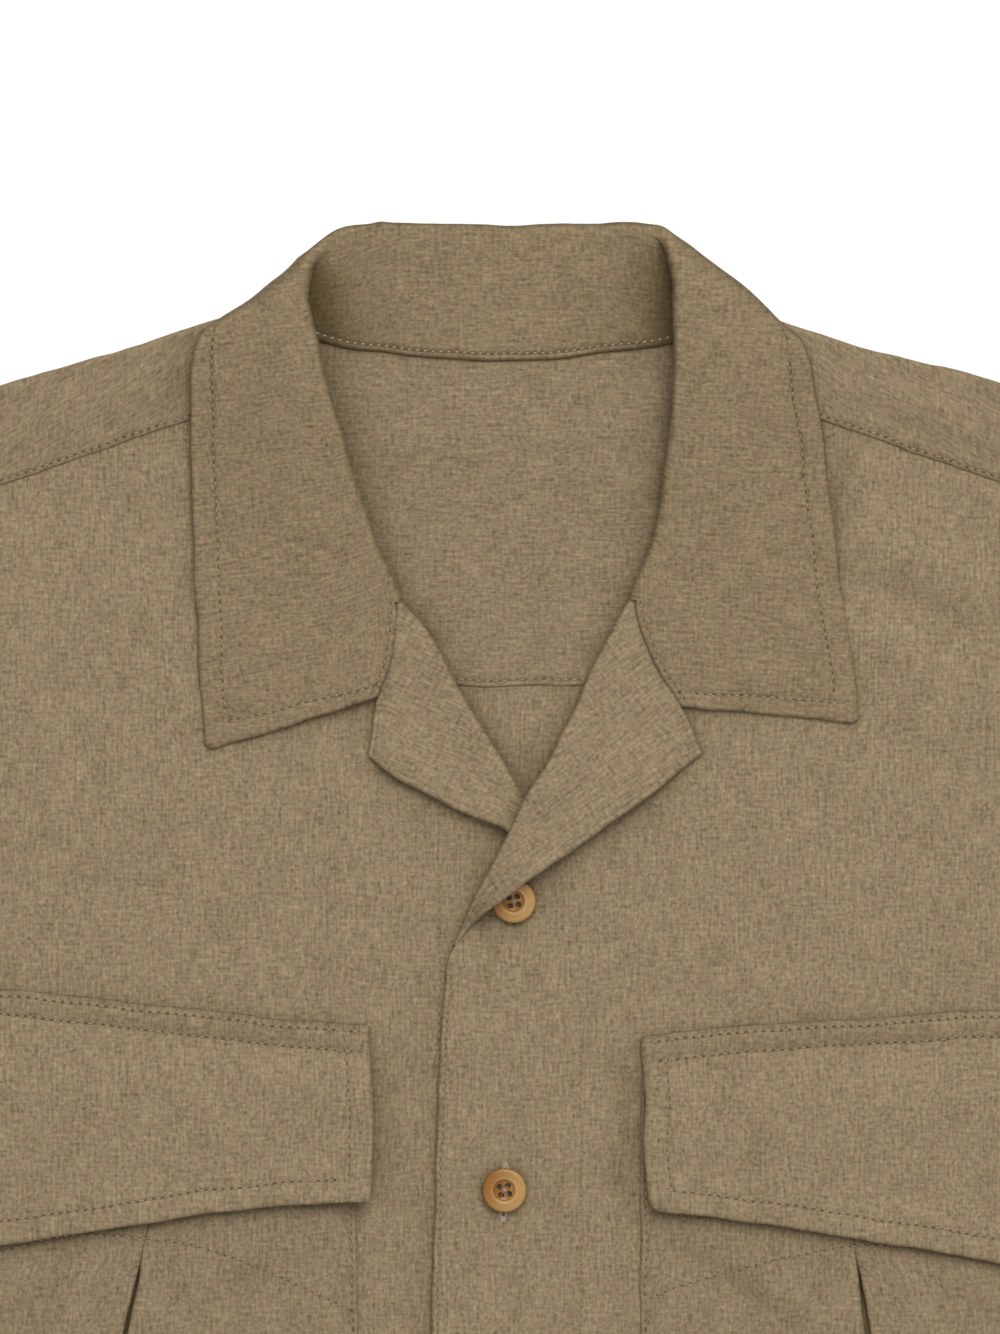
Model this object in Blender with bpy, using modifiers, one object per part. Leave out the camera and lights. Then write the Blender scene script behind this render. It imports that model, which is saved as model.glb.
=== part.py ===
"""Shirt jacket laid flat and face up, its collar toward +Y and its back on the surface at z = 0.

Sizes below are in millimetres and become metres where a mesh is made. Garment places are measured from
the centre front (x, toward the wearer's left) and from the shoulder's neck points (y, toward the collar).
Left and right are the wearer's, so left is at +X. Every cloth piece is an open sheet on its middle
surface, given its wall by Solidify.
"""

import math
from collections import namedtuple

import bmesh
import bpy
from mathutils import Vector

# Columns of the tables below
CollarSection = namedtuple(
    "CollarSection",
    "seam_x seam_y seam_z fold_x fold_y fold_z edge_x edge_y edge_z turn leaf_only roll",
)
LapelSection = namedtuple("LapelSection", "roll_x roll_y edge_x edge_y")
FrontSection = namedtuple("FrontSection", "inner_x inner_y end")
FlapSection = namedtuple("FlapSection", "share top bottom")
SoftFold = namedtuple("SoftFold", "x y direction half_length half_width height")

# Cloth and seams
MM = 0.001
CLOTH = 1.2             # wall of one layer
DOUBLE = 2.0            # wall of two layers sewn together
POCKET_CLOTH = 1.0      # wall of the pocket, pressed at its pleat
GAP = 0.3               # between pieces at a seam
SEAM = GAP / 2.0

# Body
BODY_LENGTH = 722.0     # shoulder neck point to hem
HEM_HALF = 284.0
UNDERARM = (290.0, -295.0)
SHOULDER_POINT = (232.0, -42.5)
SHOULDER_TOP = 24.8     # height of the shoulder line carried in to the centre
SHOULDER_SLOPE = 0.29
ARMHOLE_UPPER = (215.0, -140.0)
ARMHOLE_LOWER = (240.0, -225.0)
ARM_STEPS = 12          # sections along the armhole, the same on both sides of its seam
NECK_HALF = 76.5        # shoulder neck point
NECK_DROP = 19.5        # back neck below the shoulder neck points
NECK_CURVE = 4.6        # how square the back neck is
BACK_YOKE_SEAM = -128.0
YOKE_SEAM_NECK = (75.0, -26.0)
YOKE_SEAM_ARM = (227.4, -79.8)

# Layers, as heights of the middle of the wall above the surface
BACK_LEVEL = CLOTH / 2.0
FALL_LEVEL = DOUBLE / 2.0
SIDE_ROLL = 1.0         # half the height between back and front layers
NECK_ROLL = 2.0         # the same beside the neck
NECK_LIFT = DOUBLE + GAP
NECK_RISE = (-77.0, -27.0)      # y where the layers start to rise over the fall, and where they are up
NECK_SPREAD = (100.0, 150.0)    # x where they start to come down again, and where they are down
LAP_LIFT = CLOTH + 0.4  # left front over right front
LAP_ACROSS = (25.0, 70.0)       # x where the lap starts to come down, and where it is down
LAP_DOWN = (-125.0, -165.0)     # y where the lap starts, and where it is full
LAPEL_LIFT = 3.4        # left front over the right lapel
LAPEL_UNDER = ((0.0, -158.0), (9.0, -186.0))    # middle line of the covered end of the right lapel
LAPEL_SPREAD = (6.0, 26.0)
LAPEL_ROLL = 1.5

# Collar: neck seam, fold and outer edge of each section from the front end round to the back.
# Turn is in degrees, 0 with the leaf on top and 180 with the fall below. Roll is half the height between
# stand and leaf.
COLLAR_BACK = CollarSection(0.0, -16.3, 3.5, 0.0, 28.6, 3.1, 0.0, -23.0, 1.0, 180.0, 0.0, 2.0)
COLLAR_LEFT = (
    CollarSection(60.5, -135.0, 5.1, 60.5, -135.0, 5.1, 120.6, -140.4, 4.7, 0.0, 1.0, 1.0),
    CollarSection(50.2, -117.4, 5.5, 50.2, -117.4, 5.5, 118.0, -119.0, 4.7, 0.0, 1.0, 1.0),
    CollarSection(47.6, -97.4, 2.9, 43.7, -97.8, 4.3, 114.9, -98.0, 4.7, 0.0, 0.0, 1.4),
    CollarSection(58.0, -78.4, 3.0, 51.2, -78.4, 4.8, 112.4, -79.0, 4.8, 0.0, 0.0, 1.7),
    CollarSection(69.5, -48.0, 5.1, 55.9, -48.0, 7.0, 108.7, -50.0, 7.1, 0.0, 0.0, 1.8),
    CollarSection(74.2, -22.0, 6.9, 57.6, -20.0, 8.8, 106.2, -24.0, 9.1, 0.0, 0.0, 1.8),
    CollarSection(75.4, -8.0, 6.9, 57.5, 4.0, 8.8, 104.4, -13.5, 9.2, 8.0, 0.0, 1.8),
    CollarSection(75.8, -2.0, 6.6, 56.3, 16.0, 8.2, 102.4, -6.4, 9.0, 35.0, 0.0, 1.8),
    CollarSection(75.3, 2.0, 5.1, 53.4, 26.8, 6.0, 97.2, -0.8, 5.0, 90.0, 0.0, 1.9),
    CollarSection(70.5, -2.6, 3.8, 45.5, 29.2, 3.9, 90.6, 0.7, 1.0, 150.0, 0.0, 2.0),
    CollarSection(50.0, -13.4, 3.5, 28.0, 29.2, 3.1, 52.0, -16.0, 1.0, 180.0, 0.0, 2.0),
)
COLLAR_RIGHT = (
    CollarSection(43.8, -131.8, 5.1, 43.8, -131.8, 5.1, 101.7, -150.0, 4.7, 0.0, 1.0, 1.0),
    CollarSection(39.3, -117.8, 5.5, 39.3, -117.8, 5.5, 103.9, -122.0, 4.7, 0.0, 1.0, 1.0),
    CollarSection(40.4, -98.0, 2.9, 36.3, -98.4, 4.3, 104.7, -101.0, 4.7, 0.0, 0.0, 1.4),
    CollarSection(53.8, -80.6, 3.0, 45.0, -79.0, 4.8, 105.6, -84.0, 4.8, 0.0, 0.0, 1.7),
    CollarSection(68.9, -49.5, 5.1, 54.4, -48.0, 7.0, 106.5, -52.0, 7.1, 0.0, 0.0, 1.8),
    CollarSection(74.6, -24.0, 6.9, 62.2, -19.0, 8.8, 106.6, -27.0, 9.1, 0.0, 0.0, 1.9),
    CollarSection(75.2, -10.0, 6.9, 66.5, 1.0, 9.0, 105.0, -14.0, 9.2, 10.0, 0.0, 2.2),
    CollarSection(75.9, -3.0, 6.6, 66.2, 11.0, 8.8, 102.6, -6.6, 9.0, 40.0, 0.0, 2.4),
    CollarSection(75.3, 2.0, 5.1, 60.6, 22.6, 6.4, 97.2, -0.8, 5.0, 90.0, 0.0, 2.4),
    CollarSection(70.5, -2.6, 3.8, 51.0, 27.6, 3.9, 90.6, 0.7, 1.0, 150.0, 0.0, 2.2),
    CollarSection(50.0, -13.4, 3.5, 30.0, 28.8, 3.1, 52.0, -16.0, 1.0, 180.0, 0.0, 2.0),
)

CREASE_OUT = (0.6, 0.8)  # way the collar faces at its side creases
STAND_POINTS = 3        # from the neck seam to the fold, in each section
FOLD_POINTS = 7         # round the fold
LEAF_POINTS = 7         # from the fold to the outer edge

# Gorge seam between lapel and collar, from the roll to the notch: x, y
GORGE_LEFT = ((43.3, -99.0), (49.5, -117.7), (59.7, -135.4))
GORGE_RIGHT = ((36.0, -99.6), (38.6, -118.0), (43.0, -132.4))

# Lapels: roll and outer edge of each section from the gorge to the break
LAPEL_LEFT = (
    LapelSection(43.3, -99.0, 66.9, -151.2),
    LapelSection(33.2, -116.4, 46.1, -167.2),
    LapelSection(17.9, -149.9, 25.6, -181.9),
    LapelSection(7.3, -167.3, 11.9, -191.1),
    LapelSection(-4.3, -190.8, -1.7, -201.4),
    LapelSection(-11.2, -204.5, -10.5, -209.8),
    LapelSection(-16.6, -215.6, -16.2, -218.4),
)
LAPEL_RIGHT = (
    LapelSection(36.0, -99.6, 46.0, -152.2),
    LapelSection(26.4, -110.7, 35.8, -159.7),
    LapelSection(17.9, -126.8, 22.2, -166.6),
    LapelSection(2.5, -152.4, 8.0, -173.5),
    LapelSection(-5.7, -166.7, -1.0, -177.8),
    LapelSection(-10.3, -180.0, -6.8, -187.0),
    LapelSection(-12.8, -191.0, -11.0, -195.0),
)

# Fronts: inner edge of each section, and where it ends along the armhole (to 1) and the side (to 2)
FRONT_LEFT = (
    FrontSection(75.0, -26.0, 0.12),
    FrontSection(70.6, -48.0, 0.22),
    FrontSection(59.2, -79.0, 0.34),
    FrontSection(48.4, -99.6, 0.44),
    FrontSection(37.0, -118.4, 0.54),
    FrontSection(20.6, -151.4, 0.66),
    FrontSection(9.9, -168.6, 0.76),
    FrontSection(-1.6, -192.2, 0.85),
    FrontSection(-8.7, -206.0, 0.92),
    FrontSection(-16.4, -221.5, 1.0),
    FrontSection(-21.6, -239.0, 1.04),
    FrontSection(-22.8, -258.0, 1.09),
    FrontSection(-23.9, -290.0, 1.16),
    FrontSection(-24.7, -350.0, 1.28),
    FrontSection(-25.2, -500.0, 1.52),
    FrontSection(-25.5, -722.0, 2.0),
)
FRONT_RIGHT = (
    FrontSection(75.6, -26.2, 0.12),
    FrontSection(70.2, -50.0, 0.22),
    FrontSection(55.0, -82.0, 0.34),
    FrontSection(41.0, -100.6, 0.44),
    FrontSection(30.2, -113.2, 0.54),
    FrontSection(20.8, -128.4, 0.64),
    FrontSection(5.4, -154.0, 0.75),
    FrontSection(-2.8, -168.4, 0.83),
    FrontSection(-7.4, -181.2, 0.90),
    FrontSection(-9.8, -193.0, 1.0),
    FrontSection(-16.0, -210.0, 1.04),
    FrontSection(-20.0, -228.0, 1.08),
    FrontSection(-22.0, -250.0, 1.13),
    FrontSection(-22.3, -300.0, 1.2),
    FrontSection(-22.4, -500.0, 1.52),
    FrontSection(-22.5, -722.0, 2.0),
)

# Pockets and flaps: x grows away from the centre front on either side
POCKET_LEFT = {"inner": 46.4, "width": 152.0, "mouth": -268.0, "bottom": -432.0, "slit": (119.0, 124.4)}
POCKET_RIGHT = {"inner": 50.5, "width": 152.0, "mouth": -268.0, "bottom": -432.0, "slit": (121.5, 130.0)}
SLIT_TOP = -318.0       # the slit's two x are here and SLIT_RUN lower
SLIT_RUN = 32.0
PLEAT_DEPTH = 14.0
PLEAT_STEP = 1.5        # between the layers of the pleat
PLEAT_OPEN = (0.3, 1.4)  # half the slit's width at the mouth and at the bottom
FLAP_LIFT = 0.8         # flap over pocket
FLAP_WIDTH = 160.0
# Top and bottom of each flap by share of its width from the inner edge
FLAP_LEFT = (
    FlapSection(0.0, -248.1, -307.0),
    FlapSection(0.3, -244.0, -312.8),
    FlapSection(0.62, -241.0, -319.0),
    FlapSection(1.0, -237.0, -329.5),
)
FLAP_RIGHT = (
    FlapSection(0.0, -245.1, -303.4),
    FlapSection(0.36, -239.5, -308.2),
    FlapSection(0.78, -232.4, -318.4),
    FlapSection(1.0, -229.5, -324.0),
)
FLAP_INNER = {"left": 47.9, "right": 46.6}

# Sleeves and cuffs
SLEEVE_TURN = 48.0      # degrees the sleeve runs below level
SLEEVE_HEAD = (75.0, 100.0)
SLEEVE_RUN = 382.0
SLEEVE_END = 128.0
CUFF_LENGTH = 62.0
CUFF_WIDTH = 122.0
CUFF_LAP = (24.0, 46.0)  # under end and over end, from the outer fold
CUFF_LAP_GAP = 0.4
CUFF_ROLL = 1.3

# Buttons
BUTTON_RADIUS = 7.6
BUTTON_RIM = 2.8
BUTTON_DISH = 1.9
CUFF_BUTTON_RADIUS = 5.6
LAPEL_OVER_BUTTON = 3.78        # lapel's rise over the first button
OVER_BUTTON = (8.5, 30.0)       # from its centre, where the rise starts to fall and where it ends
HOLE_RADIUS = 0.9
HOLE_SPACING = 1.6      # from the button's centre along each axis
FRONT_BUTTONS = ((3.4, -202.6), (-0.2, -300.3), (-0.5, -398.3), (-0.5, -496.3), (-0.5, -594.3))

# Soft folds of the upper layers, their direction in degrees
SOFT_FOLDS = (
    SoftFold(200.0, -150.0, 250.0, 70.0, 16.0, 0.9),
    SoftFold(-205.0, -160.0, -70.0, 70.0, 16.0, 0.9),
    SoftFold(225.0, -420.0, 262.0, 150.0, 22.0, 1.1),
    SoftFold(-230.0, -470.0, 280.0, 150.0, 22.0, 1.1),
    SoftFold(90.0, -580.0, 265.0, 110.0, 24.0, 1.0),
    SoftFold(-95.0, -560.0, 274.0, 120.0, 24.0, 1.0),
    SoftFold(420.0, -330.0, 250.0, 46.0, 14.0, 1.2),
    SoftFold(-420.0, -330.0, 290.0, 46.0, 14.0, 1.2),
    SoftFold(470.0, -355.0, 285.0, 44.0, 14.0, 1.0),
    SoftFold(-470.0, -355.0, 255.0, 44.0, 14.0, 1.0),
)

COLLAR_TOP = 30.4       # highest edge of the collar's fold
CENTRE_Y = (COLLAR_TOP - BODY_LENGTH) / 2.0

CLOTH_COLOUR = (0.288, 0.216, 0.130, 1.0)
BUTTON_COLOUR = (0.445, 0.223, 0.070, 1.0)


# Shared helpers
def clear_scene():
    for item in list(bpy.data.objects):
        bpy.data.objects.remove(item, do_unlink=True)


def make_collection(name):
    collection = bpy.data.collections.new(name)
    bpy.context.scene.collection.children.link(collection)
    return collection


def make_material(name, colour, roughness):
    material = bpy.data.materials.new(name)
    material.use_nodes = True
    shader = material.node_tree.nodes["Principled BSDF"]
    shader.inputs["Base Color"].default_value = colour
    shader.inputs["Roughness"].default_value = roughness
    shader.inputs["Metallic"].default_value = 0.0
    return material


def ease(low, high, value):
    share = min(1.0, max(0.0, (value - low) / (high - low)))
    return share * share * (3.0 - 2.0 * share)


def mix(first, second, share):
    return tuple(a + (b - a) * share for a, b in zip(first, second))


def curve(rows, place):
    """Smooth curve through table rows; place runs from 0 to 1."""
    span = min(max(place, 0.0), 1.0) * (len(rows) - 1)
    index = min(int(span), len(rows) - 2)
    t = span - index
    before = rows[max(index - 1, 0)]
    start = rows[index]
    end = rows[index + 1]
    after = rows[min(index + 2, len(rows) - 1)]
    result = []
    for a, b, c, d in zip(before, start, end, after):
        value = 2.0 * b + (c - a) * t + (2.0 * a - 5.0 * b + 4.0 * c - d) * t * t
        value += (3.0 * b - a - 3.0 * c + d) * t * t * t
        result.append(value / 2.0)
    return tuple(result)


def sheet_object(name, columns, rows, place, wall, keep=None, weld=False):
    """Grid whose vertices are set by place(column, row), with its wall from Solidify."""
    mesh = bpy.data.meshes.new(name)
    shape = bmesh.new()
    bmesh.ops.create_grid(shape, x_segments=columns - 1, y_segments=rows - 1, size=0.5)
    cell = {}
    for vertex in shape.verts:
        column = round((vertex.co.x + 0.5) * (columns - 1))
        row = round((vertex.co.y + 0.5) * (rows - 1))
        cell[vertex] = (column, row)
    if keep:
        dropped = [face for face in shape.faces if not keep([cell[vertex] for vertex in face.verts])]
        bmesh.ops.delete(shape, geom=dropped, context="FACES")
    for vertex in shape.verts:
        x, y, z = place(*cell[vertex])
        vertex.co = Vector((x, y - CENTRE_Y, z)) * MM
    if weld:
        bmesh.ops.remove_doubles(shape, verts=shape.verts, dist=1e-7)
    bmesh.ops.recalc_face_normals(shape, faces=shape.faces)
    shape.to_mesh(mesh)
    shape.free()
    item = bpy.data.objects.new(name, mesh)
    solid = item.modifiers.new("Wall", "SOLIDIFY")
    solid.thickness = wall * MM
    solid.offset = 0.0
    solid.use_even_offset = False
    solid.use_quality_normals = True
    finish(item, CLOTH_COLOUR, 0.9)
    return item


def finish(item, colour, roughness):
    PARTS.objects.link(item)
    item.data.materials.append(make_material(item.name, colour, roughness))


# Body outline and heights
def shoulder_y(x):
    return SHOULDER_TOP - SHOULDER_SLOPE * abs(x)


def neck_y(x):
    return SHOULDER_TOP - SHOULDER_SLOPE * NECK_HALF - NECK_DROP * (1.0 - (abs(x) / NECK_HALF) ** NECK_CURVE)


def outer_edge(place):
    """Armhole for place 0 to 1 and side seam for 1 to 2."""
    if place <= 1.0:
        a, b, c, d = (Vector(p) for p in (SHOULDER_POINT, ARMHOLE_UPPER, ARMHOLE_LOWER, UNDERARM))
        rest = 1.0 - place
        return (
            a * rest**3 + b * 3.0 * rest**2 * place + c * 3.0 * rest * place**2 + d * place**3
        )
    return Vector(UNDERARM).lerp(Vector((HEM_HALF, -BODY_LENGTH)), place - 1.0)


def armhole_at(y):
    low, high = 0.0, 1.0
    for _ in range(40):
        middle = (low + high) / 2.0
        if outer_edge(middle).y > y:
            low = middle
        else:
            high = middle
    return low


def near_neck(x, y):
    return ease(*NECK_RISE, y) * (1.0 - ease(*NECK_SPREAD, abs(x)))


def soft_folds(x, y):
    height = 0.0
    for fold in SOFT_FOLDS:
        turn = math.radians(fold.direction)
        dx = x - fold.x
        dy = y - fold.y
        run = (dx * math.cos(turn) + dy * math.sin(turn)) / fold.half_length
        across = (dy * math.cos(turn) - dx * math.sin(turn)) / fold.half_width
        height += fold.height * math.exp(-(run**2) - across**2)
    return height


def shoulder_roll(x, y):
    return SIDE_ROLL + (NECK_ROLL - SIDE_ROLL) * near_neck(x, y)


def yoke_height(x, y):
    return BACK_LEVEL + NECK_LIFT * near_neck(x, y)


def front_height(x, y):
    return yoke_height(x, y) + 2.0 * shoulder_roll(x, y) + soft_folds(x, y)


def left_front_height(x, y):
    """Upper front: over the under front at the lap and over the right lapel."""
    lap = LAP_LIFT * (1.0 - ease(*LAP_ACROSS, x)) * ease(*LAP_DOWN, y)
    start = Vector(LAPEL_UNDER[0])
    run = Vector(LAPEL_UNDER[1]) - start
    share = min(1.0, max(0.0, (Vector((x, y)) - start).dot(run) / run.length_squared))
    distance = (Vector((x, y)) - start - run * share).length
    return front_height(x, y) + lap + LAPEL_LIFT * (1.0 - ease(*LAPEL_SPREAD, distance))


# Back and yoke
def make_back():
    top = armhole_at(BACK_YOKE_SEAM - SEAM)
    places = [top] + [k / ARM_STEPS for k in range(1, ARM_STEPS + 1) if k / ARM_STEPS > top]
    places += [1.25, 1.5, 1.75, 2.0]

    def place(column, row):
        edge = outer_edge(places[row])
        y = BACK_YOKE_SEAM - SEAM if row == 0 else edge.y
        return edge.x * (column / 4.0 - 1.0), y, BACK_LEVEL

    return sheet_object("back", 9, len(places), place, CLOTH)


def make_yoke():
    shoulder = [NECK_HALF + (SHOULDER_POINT[0] - NECK_HALF) * k / 7.0 for k in range(8)]
    neck = [NECK_HALF * k / 6.0 for k in range(-5, 6)]
    across = [-x for x in reversed(shoulder)] + neck + shoulder
    back_rows, arc_rows, front_rows = 7, 5, 4
    first, last = len(shoulder) - 1, len(shoulder) + len(neck)

    def reach(x, y):
        return x * outer_edge(armhole_at(y)).x / SHOULDER_POINT[0]

    def place(column, row):
        x = across[column]
        side = math.copysign(1.0, x)
        on_neck = first < column < last
        roll = shoulder_roll(x, shoulder_y(x))
        centre_y = shoulder_y(x) - roll - CLOTH / 2.0
        end = (x, neck_y(x) if on_neck else centre_y)
        if row < back_rows:
            seam_y = BACK_YOKE_SEAM + SEAM
            py = seam_y + (end[1] - seam_y) * row / (back_rows - 1.0)
            px = reach(x, py)
            return px, py, yoke_height(px, py)
        if on_neck:
            return end[0], end[1], yoke_height(*end)
        bottom = yoke_height(x, centre_y)
        if row < back_rows + arc_rows:
            angle = math.pi * (row - back_rows + 1) / arc_rows - math.pi / 2.0
            return x, centre_y + roll * math.cos(angle), bottom + roll + roll * math.sin(angle)
        share = (abs(x) - NECK_HALF) / (SHOULDER_POINT[0] - NECK_HALF)
        seam = mix(YOKE_SEAM_NECK, YOKE_SEAM_ARM, share)
        step = (row - back_rows - arc_rows + 1.0) / front_rows
        px, py = mix((abs(x), centre_y), (seam[0], seam[1] + SEAM), step)
        bow = reach(SHOULDER_POINT[0], py) - mix(SHOULDER_POINT, YOKE_SEAM_ARM, step)[0]
        px = side * (px + bow * share)
        return px, py, front_height(px, py)

    def keep(cells):
        beyond_neck = any(row >= back_rows for _, row in cells)
        return not (beyond_neck and any(first < column < last for column, _ in cells))

    return sheet_object("yoke", len(across), back_rows + arc_rows + front_rows, place, CLOTH, keep)


# Fronts and lapels
def front_rows(table):
    """Sections of a front: at the yoke seam, at each armhole step and down the side."""
    ends = [table[0].end] + [k / ARM_STEPS for k in range(2, ARM_STEPS + 1)]
    ends += [1.04, 1.08, 1.13, 1.2, 1.28, 1.4, 1.55, 1.7, 1.85, 2.0]
    rows = []
    for end in ends:
        index = max(k for k in range(len(table) - 1) if table[k].end <= end)
        share = (end - table[index].end) / (table[index + 1].end - table[index].end)
        inner_x, inner_y, _ = curve(table, (index + share) / (len(table) - 1.0))
        rows.append((inner_x, inner_y, end))
    return rows


def make_front(name, table, side, height):
    rows, columns = front_rows(table), 11

    def place(column, row):
        inner_x, inner_y, reach = rows[row]
        edge = Vector(YOKE_SEAM_ARM) if row == 0 else outer_edge(reach)
        share = (column / (columns - 1.0)) ** 1.35
        x = inner_x + (edge.x - inner_x) * share
        y = inner_y + (edge.y - inner_y) * share - SEAM * (row == 0)
        return side * x, y, height(side * x, y)

    return sheet_object(name, columns, len(rows), place, CLOTH)


def lapel_height(height, x, y, share):
    lie = CLOTH / 2.0 + DOUBLE / 2.0 + 0.4
    rise = 2.0 * LAPEL_ROLL + (lie - 2.0 * LAPEL_ROLL) * ease(0.0, 0.55, share)
    if height is left_front_height:
        over = 1.0 - ease(*OVER_BUTTON, math.dist((x, y), FRONT_BUTTONS[0]))
        rise += LAPEL_OVER_BUTTON * over * ease(0.0, 0.5, share)
    return height(x, y) + rise


def gorge_bow(gorge, first, share):
    """How far the gorge seam bows from the straight first section, at a share of its length."""
    fold, edge = Vector(first[:2]), Vector(first[2:])
    notch = (Vector(gorge[-1]) - fold).length / (edge - fold).length
    if share > notch:
        return (Vector(gorge[-1]) - fold.lerp(edge, notch)) * (1.0 - share) / (1.0 - notch)
    return Vector(curve(gorge, share / notch)) - fold.lerp(edge, share)


def make_lapel(name, table, gorge, side, height):
    rows, arc, lie = 13, 5, 8

    def place(column, row):
        roll_x, roll_y, edge_x, edge_y = curve(table, row / (rows - 1.0))
        fold = Vector((side * roll_x, roll_y))
        edge = Vector((side * edge_x, edge_y))
        away = (edge - fold).normalized()
        centre = fold + away * LAPEL_ROLL
        base = height(centre.x, centre.y)
        if column <= arc:
            angle = math.pi * column / arc - math.pi / 2.0
            spot = centre - away * LAPEL_ROLL * math.cos(angle)
            return spot.x, spot.y, base + LAPEL_ROLL + LAPEL_ROLL * math.sin(angle)
        share = (column - arc) / lie
        bow = gorge_bow(gorge, table[0], share) * max(0.0, 1.0 - row / 3.0)
        spot = centre.lerp(edge, share) + Vector((side * bow.x, bow.y))
        return spot.x, spot.y, lapel_height(height, spot.x, spot.y, share)

    return sheet_object(name, arc + lie + 1, rows, place, DOUBLE)


# Collar
def collar_section(values, side):
    """Points of one section from the neck seam over the fold to the outer edge."""
    seam = Vector((side * values.seam_x, values.seam_y, values.seam_z))
    fold = Vector((side * values.fold_x, values.fold_y, values.fold_z))
    edge = Vector((side * values.edge_x, values.edge_y, values.edge_z))
    turn, roll = math.radians(values.turn), values.roll
    if values.leaf_only:
        return [seam] * (STAND_POINTS + FOLD_POINTS) + [
            seam.lerp(edge, k / LEAF_POINTS) for k in range(1, LEAF_POINTS + 1)
        ]
    outward = Vector((side * CREASE_OUT[0], CREASE_OUT[1], 0.0))
    normal = Vector((0.0, 0.0, 1.0)) * math.cos(turn) + outward * math.sin(turn)
    toward = fold - (seam + edge) / 2.0
    toward.z = 0.0
    toward.normalize()
    centre = fold - toward * roll
    under = centre - normal * roll
    over = centre + normal * roll
    points = [seam.lerp(under, k / STAND_POINTS) for k in range(STAND_POINTS)]
    for k in range(FOLD_POINTS):
        angle = math.pi * k / (FOLD_POINTS - 1.0)
        points.append(centre - normal * roll * math.cos(angle) + toward * roll * math.sin(angle))
    points += [over.lerp(edge, k / LEAF_POINTS) for k in range(1, LEAF_POINTS + 1)]
    return points


def make_collar():
    """Loft of the sections; in front of the gorge only the leaf is left."""
    rows_right = [collar_section(values, -1.0) for values in COLLAR_RIGHT]
    rows_left = [collar_section(values, 1.0) for values in reversed(COLLAR_LEFT)]
    sections = rows_right + [collar_section(COLLAR_BACK, 1.0)] + rows_left
    open_rows = sum(1 for values in COLLAR_LEFT if values.leaf_only)
    steps = 2 * (len(sections) - 1) + 1
    leaf = STAND_POINTS + FOLD_POINTS - 1
    first, last = 2 * open_rows, steps - 1 - 2 * open_rows

    def place(column, row):
        table = [tuple(section[column]) for section in sections]
        if column < leaf:
            table[:open_rows] = [table[open_rows]] * open_rows
            table[-open_rows:] = [table[-open_rows - 1]] * open_rows
        x, y, z = curve(table, row / (steps - 1.0))
        return x, y, max(z, FALL_LEVEL)

    def keep(cells):
        in_front = any(row < first or row > last for _, row in cells)
        return not (in_front and any(column < leaf for column, _ in cells))

    return sheet_object("collar", len(sections[0]), steps, place, DOUBLE, keep)


# Pockets and flaps
def pleat_rise(distance):
    return 2.0 * PLEAT_STEP * (1.0 - ease(PLEAT_DEPTH + 3.0, PLEAT_DEPTH + 26.0, abs(distance)))


def slit_place(pocket, y):
    low, high = pocket["slit"]
    return low + (high - low) * (SLIT_TOP - y) / SLIT_RUN * (1.0 - 0.35 * ease(-345.0, -432.0, y))


def pocket_height(pocket, height, side, x, y):
    """Middle of the pocket's outermost layer above the surface."""
    lie = CLOTH / 2.0 + GAP + POCKET_CLOTH / 2.0
    return height(side * x, y) + lie + pleat_rise(x - slit_place(pocket, y))


def make_pocket(name, pocket, side, height):
    rows = 6

    def place(column, row):
        share = row / (rows - 1.0)
        y = pocket["mouth"] + (pocket["bottom"] - pocket["mouth"]) * share
        slit = slit_place(pocket, y)
        wide = PLEAT_OPEN[0] + (PLEAT_OPEN[1] - PLEAT_OPEN[0]) * ease(0.2, 0.7, share)
        inner = pocket["inner"]
        outer = inner + pocket["width"]
        base = CLOTH / 2.0 + GAP + POCKET_CLOTH / 2.0
        turn = PLEAT_STEP / 2.0
        path = []
        for k in range(6):
            x = inner + (slit - wide - turn - inner) * k / 5.0
            path.append((x, base + pleat_rise(x - slit)))
        path.append((slit - wide, base + 1.5 * PLEAT_STEP))
        path.append((slit - wide - turn, base + PLEAT_STEP))
        path.append((slit - PLEAT_DEPTH + turn, base + PLEAT_STEP))
        path.append((slit - PLEAT_DEPTH, base + 0.5 * PLEAT_STEP))
        path.append((slit - PLEAT_DEPTH + turn, base))
        path.append((slit + PLEAT_DEPTH - turn, base))
        path.append((slit + PLEAT_DEPTH, base + 0.5 * PLEAT_STEP))
        path.append((slit + PLEAT_DEPTH - turn, base + PLEAT_STEP))
        path.append((slit + wide + turn, base + PLEAT_STEP))
        path.append((slit + wide, base + 1.5 * PLEAT_STEP))
        for k in range(6):
            x = slit + wide + turn + (outer - slit - wide - turn) * k / 5.0
            path.append((x, base + pleat_rise(x - slit)))
        x, rise = path[column]
        return side * x, y, height(side * x, y) + rise

    return sheet_object(name, 22, rows, place, POCKET_CLOTH)


def make_flap(name, table, pocket, side, height):
    inner = FLAP_INNER[name.split("_")[1]]
    columns, rows = 13, 8

    def place(column, row):
        share = column / (columns - 1.0)
        start = max(k for k in range(len(table) - 1) if table[k].share <= share)
        local = (share - table[start].share) / (table[start + 1].share - table[start].share)
        _, top, bottom = curve(table, (start + local) / (len(table) - 1.0))
        down = row / (rows - 1.0)
        x = inner + FLAP_WIDTH * share
        y = top + (bottom - top) * down
        sewn = height(side * x, y) + CLOTH / 2.0 + GAP + DOUBLE / 2.0
        over = pocket_height(pocket, height, side, x, y) + POCKET_CLOTH / 2.0 + FLAP_LIFT + DOUBLE / 2.0
        return side * x, y, sewn + (over - sewn) * ease(0.0, 0.25, down)

    return sheet_object(name, columns, rows, place, DOUBLE)


# Sleeves and cuffs
def sleeve_axis():
    turn = math.radians(SLEEVE_TURN)
    return Vector((math.cos(turn), -math.sin(turn)))


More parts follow.
